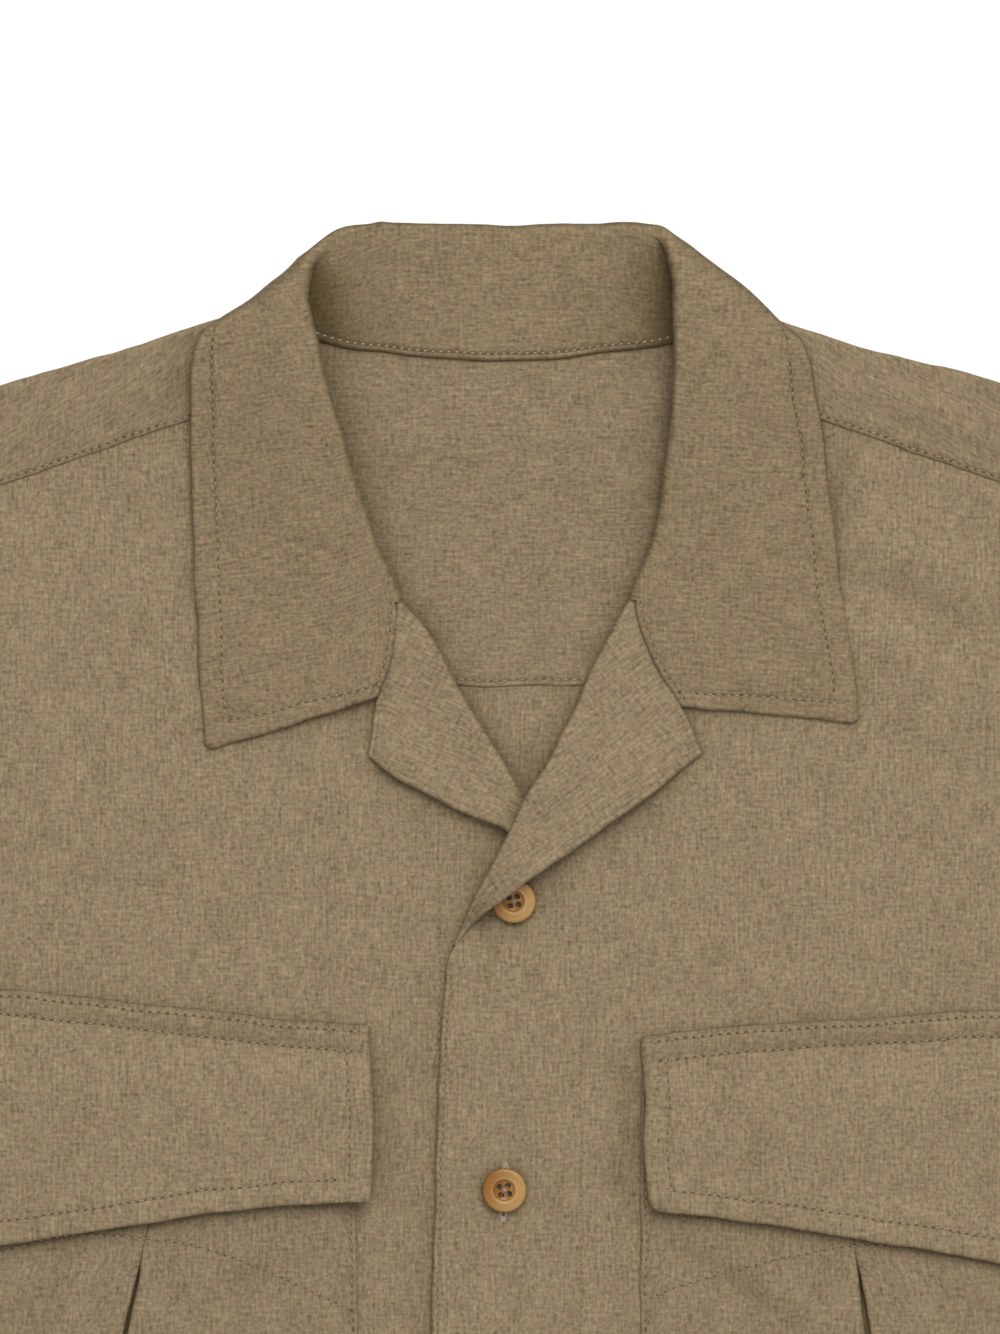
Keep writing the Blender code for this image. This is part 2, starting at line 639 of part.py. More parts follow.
def sleeve_top(place):
    """Upper fold of the sleeve from the shoulder point to the cuff seam."""
    start = Vector(SHOULDER_POINT)
    slope = math.atan(SHOULDER_SLOPE)
    knee = start + Vector((math.cos(slope), -math.sin(slope))) * SLEEVE_HEAD[0]
    head = knee + sleeve_axis() * SLEEVE_HEAD[1]
    share = sum(SLEEVE_HEAD) / (sum(SLEEVE_HEAD) + SLEEVE_RUN)
    if place <= share:
        t = place / share
        return start * (1.0 - t) ** 2 + knee * 2.0 * t * (1.0 - t) + head * t * t
    return head + sleeve_axis() * SLEEVE_RUN * (place - share) / (1.0 - share)


def sleeve_plan(place, across):
    """Point of the flat sleeve: place from armhole to cuff, across from upper fold to underarm."""
    axis = sleeve_axis()
    down = Vector((axis.y, -axis.x))
    top_end = sleeve_top(1.0)
    low_end = top_end + down * SLEEVE_END
    start = outer_edge(across)
    ahead = outer_edge(min(1.0, across + 0.01)) - outer_edge(max(0.0, across - 0.01))
    start = start + Vector((-ahead.y, ahead.x)).normalized() * GAP * 2.0
    low = Vector(UNDERARM).lerp(low_end, place)
    end = top_end.lerp(low_end, across)
    rule = sleeve_top(place) * (1.0 - across) + low * across
    span = start * (1.0 - place) + end * place
    first = Vector(SHOULDER_POINT) * (1.0 - across) + Vector(UNDERARM) * across
    return rule + span - first * (1.0 - place) - end * place


def make_sleeve(name, side):
    rows, flat, arc = 10, ARM_STEPS + 1, 4
    loop = 2 * (flat + arc - 1)

    def place(column, row):
        length = row / (rows - 1.0)
        width = (sleeve_plan(length, 1.0) - sleeve_plan(length, 0.0)).length
        inset = (SIDE_ROLL + CLOTH / 2.0) / width
        column = column % loop
        upper = column < flat
        lower = flat + arc - 1 <= column < 2 * flat + arc - 1
        if upper or lower:
            step = column if upper else 2 * flat + arc - 2 - column
            share = min(1.0 - inset, max(inset, step / ARM_STEPS))
            spot = sleeve_plan(length, share)
            x, y = side * spot.x, spot.y
            z = front_height(x, y) if upper else BACK_LEVEL
            return x, y, z
        under = column < flat + arc
        share = 1.0 - inset if under else inset
        centre = sleeve_plan(length, share)
        away = (sleeve_plan(length, 1.0 if under else 0.0) - centre).normalized()
        step = column - flat + 1 if under else column - (2 * flat + arc - 1) + 1
        angle = math.pi / 2.0 - math.pi * step / arc
        angle = angle if under else -angle
        roll = (front_height(side * centre.x, centre.y) - BACK_LEVEL) / 2.0
        spot = centre + away * SIDE_ROLL * math.cos(angle)
        return side * spot.x, spot.y, BACK_LEVEL + roll + roll * math.sin(angle)

    return sheet_object(name, loop + 1, rows, place, CLOTH, weld=True)


def cuff_frame():
    axis = sleeve_axis()
    down = Vector((axis.y, -axis.x))
    start = sleeve_top(1.0) + down * (SLEEVE_END - CUFF_WIDTH) / 2.0 + axis * GAP
    return start, axis, down


def make_cuff(name, side):
    start, axis, down = cuff_frame()
    low = DOUBLE / 2.0
    under = low + 2.0 * CUFF_ROLL
    over = under + DOUBLE + CUFF_LAP_GAP
    edge = DOUBLE / 2.0
    near_roll = (over - low) / 2.0
    path = [(CUFF_LAP[0], under), (70.0, under), (CUFF_WIDTH - edge - CUFF_ROLL, under)]
    for k in range(1, 4):
        angle = math.pi / 2.0 - math.pi * k / 4.0
        reach = CUFF_WIDTH - edge - CUFF_ROLL + CUFF_ROLL * math.cos(angle)
        path.append((reach, low + CUFF_ROLL + CUFF_ROLL * math.sin(angle)))
    path += [(CUFF_WIDTH - edge - CUFF_ROLL, low), (60.0, low), (edge + near_roll, low)]
    for k in range(1, 6):
        angle = -math.pi / 2.0 + math.pi * k / 6.0
        reach = edge + near_roll - near_roll * math.cos(angle)
        path.append((reach, low + near_roll + near_roll * math.sin(angle)))
    path += [(edge + near_roll, over), (CUFF_LAP[1], over)]

    def place(column, row):
        across, z = path[column]
        spot = start + down * across + axis * CUFF_LENGTH * row / 3.0
        return side * spot.x, spot.y, z

    return sheet_object(name, len(path), 4, place, DOUBLE)


# Buttons
def make_button(name, radius, centre, normal):
    """Turned disc with a raised rim and four thread holes, standing on its lowest point."""
    profile = (
        (0.0, 0.0),
        (radius * 0.78, 0.0),
        (radius * 0.96, 0.7),
        (radius, 1.5),
        (radius * 0.93, BUTTON_RIM),
        (radius * 0.8, BUTTON_RIM),
        (radius * 0.62, BUTTON_DISH),
        (0.0, BUTTON_DISH),
    )
    mesh = bpy.data.meshes.new(name)
    shape = bmesh.new()
    outline = [shape.verts.new((x * MM, 0.0, z * MM)) for x, z in profile]
    edges = [shape.edges.new(pair) for pair in zip(outline, outline[1:])]
    bmesh.ops.spin(
        shape, geom=outline + edges, cent=(0, 0, 0), axis=(0, 0, 1), angle=math.tau, steps=16,
        use_duplicate=False,
    )
    bmesh.ops.remove_doubles(shape, verts=shape.verts, dist=1e-6)
    bmesh.ops.recalc_face_normals(shape, faces=shape.faces)
    shape.to_mesh(mesh)
    shape.free()
    item = bpy.data.objects.new(name, mesh)
    finish(item, BUTTON_COLOUR, 0.35)
    turn = Vector((0.0, 0.0, 1.0)).rotation_difference(normal)
    place = Vector((centre[0], centre[1] - CENTRE_Y, centre[2])) * MM
    item.matrix_world = turn.to_matrix().to_4x4()
    item.location = place
    holes = item.modifiers.new("Holes", "BOOLEAN")
    holes.operation = "DIFFERENCE"
    holes.solver = "EXACT"
    holes.object = make_hole_cutter(name, item)
    return item


def make_hole_cutter(name, button):
    mesh = bpy.data.meshes.new(name + "_holes")
    shape = bmesh.new()
    for x in (-HOLE_SPACING, HOLE_SPACING):
        for y in (-HOLE_SPACING, HOLE_SPACING):
            made = bmesh.ops.create_cone(
                shape, cap_ends=True, segments=5, radius1=HOLE_RADIUS * MM, radius2=HOLE_RADIUS * MM,
                depth=8.0 * MM,
            )
            bmesh.ops.translate(shape, verts=made["verts"], vec=(x * MM, y * MM, 0.0))
    shape.to_mesh(mesh)
    shape.free()
    cutter = bpy.data.objects.new(name + "_holes", mesh)
    cutter.matrix_world = button.matrix_world
    cutter.location = button.location
    cutter.rotation_euler = button.rotation_euler
    cutter.hide_render = True
    cutter.display_type = "WIRE"
    CUTTERS.objects.link(cutter)
    return cutter


def front_button_place(x, y):
    """Highest point of the front under the button, and the front's slope there."""
    step = BUTTON_RADIUS
    slope_x = (left_front_height(x + step, y) - left_front_height(x - step, y)) / (2.0 * step)
    slope_y = (left_front_height(x, y + step) - left_front_height(x, y - step)) / (2.0 * step)
    normal = Vector((-slope_x, -slope_y, 1.0)).normalized()
    return (x, y, left_front_height(x, y) + CLOTH / 2.0 + GAP + 0.25), normal


def make_buttons():
    for number, (x, y) in enumerate(FRONT_BUTTONS, 1):
        centre, normal = front_button_place(x, y)
        make_button("button_front_%d" % number, BUTTON_RADIUS, centre, normal)
    for name, side in (("button_cuff_left", 1.0), ("button_cuff_right", -1.0)):
        start, axis, down = cuff_frame()
        spot = start + down * sum(CUFF_LAP) / 2.0 + axis * CUFF_LENGTH / 2.0
        top = 2.0 * DOUBLE + 2.0 * CUFF_ROLL + CUFF_LAP_GAP
        make_button(name, CUFF_BUTTON_RADIUS, (side * spot.x, spot.y, top + GAP), Vector((0, 0, 1)))


clear_scene()
PARTS = make_collection("Shirt jacket")
CUTTERS = make_collection("Cutters")
make_back()
make_yoke()
make_front("front_left", FRONT_LEFT, 1.0, left_front_height)
make_front("front_right", FRONT_RIGHT, -1.0, front_height)
make_lapel("facing_left", LAPEL_LEFT, GORGE_LEFT, 1.0, left_front_height)
make_lapel("facing_right", LAPEL_RIGHT, GORGE_RIGHT, -1.0, front_height)
make_collar()
make_pocket("pocket_left", POCKET_LEFT, 1.0, left_front_height)
make_pocket("pocket_right", POCKET_RIGHT, -1.0, front_height)
make_flap("flap_left", FLAP_LEFT, POCKET_LEFT, 1.0, left_front_height)
make_flap("flap_right", FLAP_RIGHT, POCKET_RIGHT, -1.0, front_height)
make_sleeve("sleeve_left", 1.0)
make_sleeve("sleeve_right", -1.0)
make_cuff("cuff_left", 1.0)
make_cuff("cuff_right", -1.0)
make_buttons()
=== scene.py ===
# Shirt jacket in melange wool, laid flat and face up: fine cloth, sewing, buttons and a plain studio.
# Sizes are in millimetres: x toward the wearer's left, y toward the collar from the shoulder's neck points.
import math

import bmesh
import bpy
import numpy as np
from mathutils import Matrix, Vector
from mathutils.bvhtree import BVHTree


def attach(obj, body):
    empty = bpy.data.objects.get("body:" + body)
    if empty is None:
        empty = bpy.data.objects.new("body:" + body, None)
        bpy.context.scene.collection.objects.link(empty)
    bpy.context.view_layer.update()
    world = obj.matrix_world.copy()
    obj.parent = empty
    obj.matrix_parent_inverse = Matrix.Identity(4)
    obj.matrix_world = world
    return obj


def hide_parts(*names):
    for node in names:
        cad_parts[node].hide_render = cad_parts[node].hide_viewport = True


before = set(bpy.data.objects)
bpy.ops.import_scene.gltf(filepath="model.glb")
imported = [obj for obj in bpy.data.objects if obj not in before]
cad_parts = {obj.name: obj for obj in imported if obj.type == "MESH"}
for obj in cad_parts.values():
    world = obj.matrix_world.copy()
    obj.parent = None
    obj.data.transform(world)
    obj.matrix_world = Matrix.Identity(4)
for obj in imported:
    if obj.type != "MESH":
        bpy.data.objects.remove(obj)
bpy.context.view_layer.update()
print("frame loaded,", len(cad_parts), "nodes")

mm = 0.001
body = {
    "length": 722.0,            # shoulder neck point to hem
    "collarTop": 30.4,
    "hemHalf": 284.0,
    "underarm": (290.0, -295.0),
    "shoulderPoint": (232.0, -42.5),
    "armholePulls": ((215.0, -140.0), (240.0, -225.0)),
    "shoulderTop": 24.8,        # shoulder line carried in to the centre
    "shoulderSlope": 0.29,
    "shoulderDips": ((117.0, 24.0, 1.9), (-103.0, 15.0, -1.1)),     # x, reach and depth beside the collar
    "neckHalf": 76.5,
    "neckDrop": 19.5,
    "neckSquare": 4.6,
    "backSeam": -128.0,         # yoke to back
    "yokeSeamNeck": (75.0, -26.0),
    "yokeSeamArm": (227.4, -79.8),
    "backLevel": 0.35,          # middle of the cloth over the floor
    "frontLevel": 0.6,
    "sideRoll": 1.0,            # half the height between the layers
    "neckRoll": 2.0,
    "neckLift": 2.3,            # layers over the collar's fall
    "liftAlong": (-77.0, -27.0),    # y where that lift comes in
    "liftAcross": (100.0, 150.0),   # and how far from the centre it fades
}
cloth = {"single": 0.7, "double": 1.4, "tuck": 3.0, "tuckDrop": 0.1, "edgeRound": 0.28, "edgeAngle": 50.0,
         "seamLift": 0.85, "seamLiftTo": (5.0, 12.0)}
relaxed = {
    "sway": 0.55, "fine": 0.3,      # edges wander along x and y in long and fine waves
    "swayWaves": ((38.0, 0.0, 13.0, 0.8), (34.0, 1.9, 12.0, 2.6)),
    "drape": 0.3, "drapeWaves": ((1.0, 62.0, 0.4), (0.5, 27.0, 1.2)),
    "pucker": 0.2, "puckerWave": (9.5, 0.6),
}
sewing = {"pull": 4.0, "fold": 1.3, "groove": 0.75, "arm": 1.8}    # reach of each, and the armhole's row
closeStitch = 1.7               # how far in from an edge its row is
wideStitch = 7.5
closeEdge = (0.0, 0.3, 0.65, 1.05, 1.4, closeStitch, 2.0, 2.4, 3.0, 4.0, 5.5)
wideEdge = (0.0, 0.3, 0.7, 1.2, 1.8, 2.6, 3.8, 5.2, 6.4, 7.0, wideStitch, 8.0, 8.7, 10.0)
plainEnd = (0.0,)
closeRow = closeEdge.index(closeStitch)
wideRow = wideEdge.index(wideStitch)
centreY = (body["collarTop"] - body["length"]) / 2.0
rippleWaves = ((0.83, 0.41, 1.3, 1.0), (-0.52, 0.94, 4.1, 2.0),    # across, along, start and turns
               (1.37, -0.29, 0.7, -1.0), (0.31, 1.49, 2.2, -3.0))


# Curves and spacing
def ease(low, high, value):
    share = np.clip((value - low) / (high - low), 0.0, 1.0)
    return share * share * (3.0 - 2.0 * share)


def through(rows, place):       # smooth curve through a table's rows, place from 0 to 1
    rows = np.asarray(rows, float)
    last = len(rows) - 1
    span = np.clip(np.asarray(place, float), 0.0, 1.0) * last
    index = np.minimum(span.astype(int), last - 1)
    t = (span - index).reshape(span.shape + (1,) * (rows.ndim - 1))
    a, b = rows[np.maximum(index - 1, 0)], rows[index]
    c, d = rows[index + 1], rows[np.minimum(index + 2, last)]
    bend = (2.0 * a - 5.0 * b + 4.0 * c - d) * t * t + (3.0 * b - a - 3.0 * c + d) * t**3
    return (2.0 * b + (c - a) * t + bend) / 2.0


def spread(length, near, far, count):   # places along a line: close together near sewn ends
    near, far = np.asarray(near, float), np.asarray(far, float)
    near = near * min(1.0, 0.4 * length / max(near[-1], 0.01))
    far = far * min(1.0, 0.4 * length / max(far[-1], 0.01))
    middle = np.linspace(near[-1], length - far[-1], count + 2)[1:-1]
    return np.concatenate((near, middle, length - far[::-1]))


def stacked(*parts):            # columns side by side, a single value repeated down its column
    return np.stack(np.broadcast_arrays(*parts), axis=-1)


def unit(vector):
    return vector / np.hypot(*vector)


def runAlong(line):             # distance of each point along its line
    return np.cumsum(np.hypot(*np.diff(line, axis=0, prepend=line[:1]).T))


def pickedAlong(line, run, wanted):     # points at the wanted distances
    return stacked(*(np.interp(wanted, run, line[:, axis]) for axis in (0, 1)))


def bump(value, middle, reach):         # 1 at the middle, fading to both sides
    return np.exp(-(((value - middle) / reach) ** 2))


def seamPull(distance, stitch):         # how near a row of stitches is
    return bump(distance, stitch, sewing["pull"])


def turnedEdge(distance, stitch, drop=0.6, swell=0.22, groove=0.2):     # round fold, swell and stitch groove
    inward = np.clip(1.0 - distance / sewing["fold"], 0.0, 1.0)
    fold = drop * (np.sqrt(1.0 - inward**2) - 1.0)
    puff = swell * np.sin(np.pi * np.clip(distance / stitch, 0.0, 1.0))
    return fold + puff - groove * bump(distance, stitch, sewing["groove"])


def ripple(x, y, wave, turn=0.0):       # uneven soft waves between -1 and 1
    a, b = x * 2.0 * math.pi / wave, y * 2.0 * math.pi / wave
    waves = 0.0
    for across, along, start, turns in rippleWaves:
        waves = waves + np.sin(across * a + along * b + start + turns * turn)
    return waves / len(rippleWaves)


def swayed(points):             # edges are never quite straight
    points = np.array(points, float)
    x, y = points[..., 0].copy(), points[..., 1].copy()
    sway, fineSway = relaxed["sway"], relaxed["fine"] * relaxed["sway"]
    for axis, (wave, turn, fineWave, fineTurn) in enumerate(relaxed["swayWaves"]):
        points[..., axis] += sway * ripple(x, y, wave, turn) + fineSway * ripple(x, y, fineWave, fineTurn)
    return points


# Body outline and the heights of its layers
def outerEdge(place):           # armhole for 0 to 1, side for 1 to 2
    place = np.asarray(place, float)[..., None]
    pulls = (body["shoulderPoint"], *body["armholePulls"], body["underarm"])
    a, b, c, d = (np.array(p) for p in pulls)
    t = np.clip(place, 0.0, 1.0)
    armhole = a * (1 - t) ** 3 + 3 * b * (1 - t) ** 2 * t + 3 * c * (1 - t) * t**2 + d * t**3
    side = d + (np.array((body["hemHalf"], -body["length"])) - d) * (place - 1.0)
    return np.where(place <= 1.0, armhole, side)


edgePlaces = np.linspace(0.0, 2.0, 801)
edgeRun = outerEdge(edgePlaces)


def edgeX(y):
    return np.interp(-y, -edgeRun[:, 1], edgeRun[:, 0])


def edgePlace(y):
    return np.interp(-y, -edgeRun[:, 1], edgePlaces)


def shoulderY(x):               # dips beside the collar on one side and swells on the other
    dip = sum(depth * bump(x, middle, reach) for middle, reach, depth in body["shoulderDips"])
    return body["shoulderTop"] - body["shoulderSlope"] * np.abs(x) - dip


def neckY(x):
    curve = 1.0 - (np.abs(x) / body["neckHalf"]) ** body["neckSquare"]
    return shoulderY(body["neckHalf"]) - body["neckDrop"] * curve


def nearNeck(x, y):
    return ease(*body["liftAlong"], y) * (1.0 - ease(*body["liftAcross"], np.abs(x)))


# Soft folds and dents: x, y, direction in degrees, half length, half width, height
creases = (
    (200.0, -150.0, 250.0, 70.0, 16.0, 0.9),    # widest folds
    (-205.0, -160.0, -70.0, 70.0, 16.0, 0.9),
    (225.0, -420.0, 262.0, 150.0, 22.0, 1.1),
    (-230.0, -470.0, 280.0, 150.0, 22.0, 1.1),
    (90.0, -580.0, 265.0, 110.0, 24.0, 1.0),
    (-95.0, -560.0, 274.0, 120.0, 24.0, 1.0),
    (420.0, -330.0, 250.0, 46.0, 14.0, 1.2),
    (-420.0, -330.0, 290.0, 46.0, 14.0, 1.2),
    (470.0, -355.0, 285.0, 44.0, 14.0, 1.0),
    (-470.0, -355.0, 255.0, 44.0, 14.0, 1.0),
    (-111.5, -26.0, 84.0, 16.0, 5.5, -2.8),     # dents and pulls by collar, yoke, pockets and flaps
    (-109.0, -98.0, 86.0, 10.0, 4.5, -1.2),
    (112.5, -61.0, 80.0, 13.0, 4.5, -1.8),
    (143.0, -103.0, -26.0, 36.0, 6.5, -2.1),
    (145.0, -152.0, -38.0, 17.0, 5.5, -1.4),
    (132.0, -116.0, -28.0, 30.0, 8.0, 1.5),
    (151.0, -90.0, -26.0, 32.0, 7.0, 1.3),
    (-146.0, -126.0, 20.0, 20.0, 9.0, -0.9),
    (-121.0, -174.0, 80.0, 24.0, 12.0, 0.8),
    (-150.0, -197.0, 3.0, 36.0, 6.0, -0.9),
    (-70.0, -206.0, 20.0, 40.0, 9.0, -0.5),
    (74.0, -331.0, -34.0, 18.0, 5.0, -2.0),
    (96.0, -336.0, -36.0, 20.0, 6.0, 1.5),
    (-88.0, -334.0, 30.0, 18.0, 6.0, -1.9),
    (60.0, -205.0, -15.0, 34.0, 9.0, -0.3),
    (-30.0, -215.0, 75.0, 24.0, 6.0, 0.35),
    (28.0, -262.0, 84.0, 40.0, 6.0, 0.3),
    (42.5, -290.0, 88.0, 58.0, 4.6, -2.4),
    (-40.5, -282.0, 90.0, 42.0, 4.5, -1.1),
    (318.0, -252.0, 62.0, 38.0, 8.0, 2.9),      # underarm, elbow, wrist, side and hem
    (334.0, -212.0, 84.0, 46.0, 9.0, 2.3),
    (350.0, -276.0, 33.0, 40.0, 8.0, 2.5),
    (414.0, -366.0, 56.0, 36.0, 8.0, 3.3),
    (438.0, -346.0, 28.0, 40.0, 8.0, 2.8),
    (400.0, -338.0, 88.0, 34.0, 8.0, 2.3),
    (424.0, -352.0, 42.0, 28.0, 6.0, -0.9),
    (557.0, -444.0, -52.0, 34.0, 7.5, 2.5),
    (584.0, -428.0, -43.0, 26.0, 7.0, 2.0),
    (-322.0, -258.0, 112.0, 42.0, 8.0, 2.8),
    (-340.0, -222.0, 98.0, 40.0, 8.0, 2.3),
    (-356.0, -268.0, 148.0, 44.0, 9.0, 2.6),
    (-408.0, -372.0, 128.0, 34.0, 8.0, 3.1),
    (-436.0, -340.0, 150.0, 46.0, 8.0, 2.6),
    (-452.0, -392.0, 96.0, 30.0, 7.0, 2.3),
    (-422.0, -356.0, 140.0, 30.0, 6.0, -0.9),
    (-548.0, -452.0, 230.0, 32.0, 7.5, 2.5),
    (-580.0, -420.0, 222.0, 30.0, 7.0, 2.2),
    (262.0, -338.0, 128.0, 34.0, 8.0, 2.8),
    (232.0, -384.0, 146.0, 38.0, 8.0, 2.2),
    (-258.0, -332.0, 50.0, 38.0, 8.0, 2.8),
    (-226.0, -392.0, 30.0, 34.0, 9.0, 2.0),
    (148.0, -652.0, 83.0, 60.0, 9.0, 2.8),
    (238.0, -598.0, 70.0, 50.0, 9.0, 2.6),
    (108.0, -486.0, 18.0, 46.0, 9.0, 1.7),
    (-168.0, -636.0, 98.0, 66.0, 10.0, 2.5),
    (-242.0, -580.0, 113.0, 54.0, 9.0, 2.8),
    (-104.0, -504.0, 158.0, 52.0, 9.0, 1.9),
)
backCreases = (
    (-4.0, -44.0, 4.0, 44.0, 6.0, 0.8),
    (31.0, -57.0, -12.0, 24.0, 6.0, 0.9),
    (-18.0, -92.0, 15.0, 24.0, 8.0, 0.6),
)


def softFolds(x, y, table=creases):
    height = np.zeros(np.broadcast(x, y).shape)
    for foldX, foldY, direction, halfLength, halfWidth, rise in table:
        turn = math.radians(direction)
        run = ((x - foldX) * math.cos(turn) + (y - foldY) * math.sin(turn)) / halfLength
        across = ((y - foldY) * math.cos(turn) - (x - foldX) * math.sin(turn)) / halfWidth
        height = height + rise * np.exp(-(run**2) - across**2)
    return height


def shoulderRoll(x, y):
    return body["sideRoll"] + (body["neckRoll"] - body["sideRoll"]) * nearNeck(x, y)


def yokeHeight(x, y):
    return body["backLevel"] + body["neckLift"] * nearNeck(x, y) + softFolds(x, y, backCreases)


def frontHeight(x, y):
    under = body["frontLevel"] + body["neckLift"] * nearNeck(x, y)
    waves = sum(share * ripple(x, y, wave, turn) for share, wave, turn in relaxed["drapeWaves"])
    return under + 2.0 * shoulderRoll(x, y) + softFolds(x, y) + relaxed["drape"] * waves


lap = {"lift": 2.0, "liftX": (25.0, 70.0), "liftY": (-125.0, -165.0),
       "lapel": 1.5, "lapelLine": ((0.0, -158.0), (9.0, -186.0)), "lapelReach": (6.0, 26.0)}
hollow = {"place": (-2.0, -180.0), "reach": (6.0, 5.0), "depth": 1.3}
beside = {"x": -29.5, "reach": 5.0, "top": (-215.0, -240.0), "end": (-400.0, -340.0), "depth": 1.5}


def leftFrontHeight(x, y):      # over the right front at the lap, and over the end of the right lapel
    lapped = lap["lift"] * (1.0 - ease(*lap["liftX"], x)) * ease(*lap["liftY"], y)
    (startX, startY), (endX, endY) = lap["lapelLine"]
    runX, runY = endX - startX, endY - startY
    share = np.clip(((x - startX) * runX + (y - startY) * runY) / (runX**2 + runY**2), 0.0, 1.0)
    distance = np.hypot(x - startX - runX * share, y - startY - runY * share)
    return frontHeight(x, y) + lapped + lap["lapel"] * (1.0 - ease(*lap["lapelReach"], distance))


def rightFrontHeight(x, y):     # lower below the lapel's end and beside the other front's edge
    (hollowX, hollowY), (reachX, reachY) = hollow["place"], hollow["reach"]
    dent = np.exp(-(((x - hollowX) / reachX) ** 2) - ((y - hollowY) / reachY) ** 2)
    edge = bump(x, beside["x"], beside["reach"]) * ease(*beside["top"], y) * ease(*beside["end"], y)
    return frontHeight(x, y) - hollow["depth"] * dent - beside["depth"] * edge


# Shader and node wiring
class Wire:                     # one output socket; sums and products of wires add Math nodes
    def __init__(self, tree, socket=None):
        self.tree = tree
        self.socket = socket

    def add(self, kind, settings=None, links=None, out=0):     # any node: its settings, then its sockets
        node = self.tree.nodes.new(kind)
        for key, value in (settings or {}).items():
            setattr(node, key, value)
        for key, value in (links or {}).items():
            if isinstance(value, Wire):
                self.tree.links.new(value.socket, node.inputs[key])
            else:
                node.inputs[key].default_value = value
        return Wire(self.tree, node.outputs[out])

    def maths(self, operation, first, second=0.0):
        return self.add("ShaderNodeMath", {"operation": operation}, {0: first, 1: second})

    def __add__(self, other):
        return self.maths("ADD", self, other)

    def __sub__(self, other):
        return self.maths("SUBTRACT", self, other)

    def __rsub__(self, other):
        return self.maths("SUBTRACT", other, self)

    def __mul__(self, other):
        return self.maths("MULTIPLY", self, other)

    __radd__ = __add__

    def blend(self, first, second):     # colours mixed by this wire
        sockets = {0: self, 6: first, 7: second}
        return self.add("ShaderNodeMix", {"data_type": "RGBA"}, sockets, out=2)

    def stretched(self, across, along):     # the same vector at other scales
        sockets = {0: self, 1: (across, along, 1.0)}
        return self.add("ShaderNodeVectorMath", {"operation": "MULTIPLY"}, sockets)

    def noise(self, roughness=0.55):
        sockets = {"Vector": self, "Scale": 1.0, "Detail": 2.0, "Roughness": roughness}
        return self.add("ShaderNodeTexNoise", {"noise_dimensions": "2D"}, sockets)

    def ranged(self, start, end, low, high):        # start to end becomes low to high
        return self.add("ShaderNodeMapRange", {}, {"Value": self, 1: start, 2: end, 3: low, 4: high})

    def clamped(self, most=1.0):
        return self.add("ShaderNodeClamp", {}, {"Value": self, 2: most})

    def part(self, axis):               # one part of a vector
        return self.add("ShaderNodeSeparateXYZ", {}, {0: self}, out=axis)

    def into(self, shader, key):
        self.tree.links.new(self.socket, shader.inputs[key])


def newMaterial(name, roughness, **sockets):
    material = bpy.data.materials.new(name)
    material.use_nodes = True
    shader = material.node_tree.nodes["Principled BSDF"]
    shader.inputs["Roughness"].default_value = roughness
    for key, value in sockets.items():
        shader.inputs[key.replace("_", " ")].default_value = value
    return material, shader, Wire(material.node_tree)


melange = {
    "colours": {"dark": (0.084, 0.0595, 0.0323), "light": (0.329, 0.2475, 0.1462),
                "rust": (0.235, 0.146, 0.0835), "moss": (0.192, 0.163, 0.080)},
    "marks": {"warp": (1.08, 0.13, 0.68), "weft": (0.15, 1.0, 0.50),    # two scales, share in the tone
              "fleck": (0.8, 0.66, 0.88), "cloud": (0.09, 0.06, 0.24)},
    "hue": (0.42, 0.3, 0.6),            # scale across and along, roughness
    "rustFrom": (0.54, 0.72, 0.0, 0.36),
    "mossFrom": (0.46, 0.28, 0.0, 0.32),
    "bump": 0.35,
    "bumpDepth": 0.0004,
    "bumpYarn": 0.6,
    "sheen": (0.62, 0.52, 0.38, 1.0),
    "crossCutShade": (0.893, 0.878, 0.848),  # painted shade: the collar and yoke, cut across the cloth, catch less light, so their wools are darker copies
    "yokeCut": (0.93, 0.925, 0.93),
    # painted shade: the pocket under its flap gets a darker copy of the wool
    "pocketCut": (0.945, 0.945, 0.95),
}
crevice = {                             # painted shade: folds, seams and places under edges, where little light gets back out, are darkened in the base colour
    "plain": (0.02, 0.88, 0.34),        # reach in metres, strength and most
    "stand": (0.042, 4.0, 0.74),
    "slit": (0.02, 1.0, 0.92),
    "neck": (-70.0, -35.0),             # y over which the stand's shade grows to full
    "leafShare": 0.2,                   # its share below that
    "upward": (0.0, 0.5),               # faces turned down or sideways have none
    # dark brown of the painted shade
    "colour": (0.036, 0.021, 0.0, 1.0),
}


# painted shade: an ambient-occlusion test darkens upward faces that have other cloth near them
def paintedCreviceShade(wire, shade):
    reach, strength, most = crevice[shade]
    lit = wire.add("ShaderNodeAmbientOcclusion", {"samples": 8}, {"Distance": reach}, out=1)
    upward = wire.add("ShaderNodeNewGeometry", out=1).part(2).ranged(*crevice["upward"], 0.0, strength)
    if shade == "stand":                # painted shade deep at the back of the neck, plain on the leaves
        low, high = ((y - centreY) * mm for y in crevice["neck"])
        along = wire.add("ShaderNodeTexCoord", out=3).part(1)
        upward = upward * along.ranged(low, high, crevice["leafShare"], 1.0)
    return ((1.0 - lit) * upward).clamped(most)
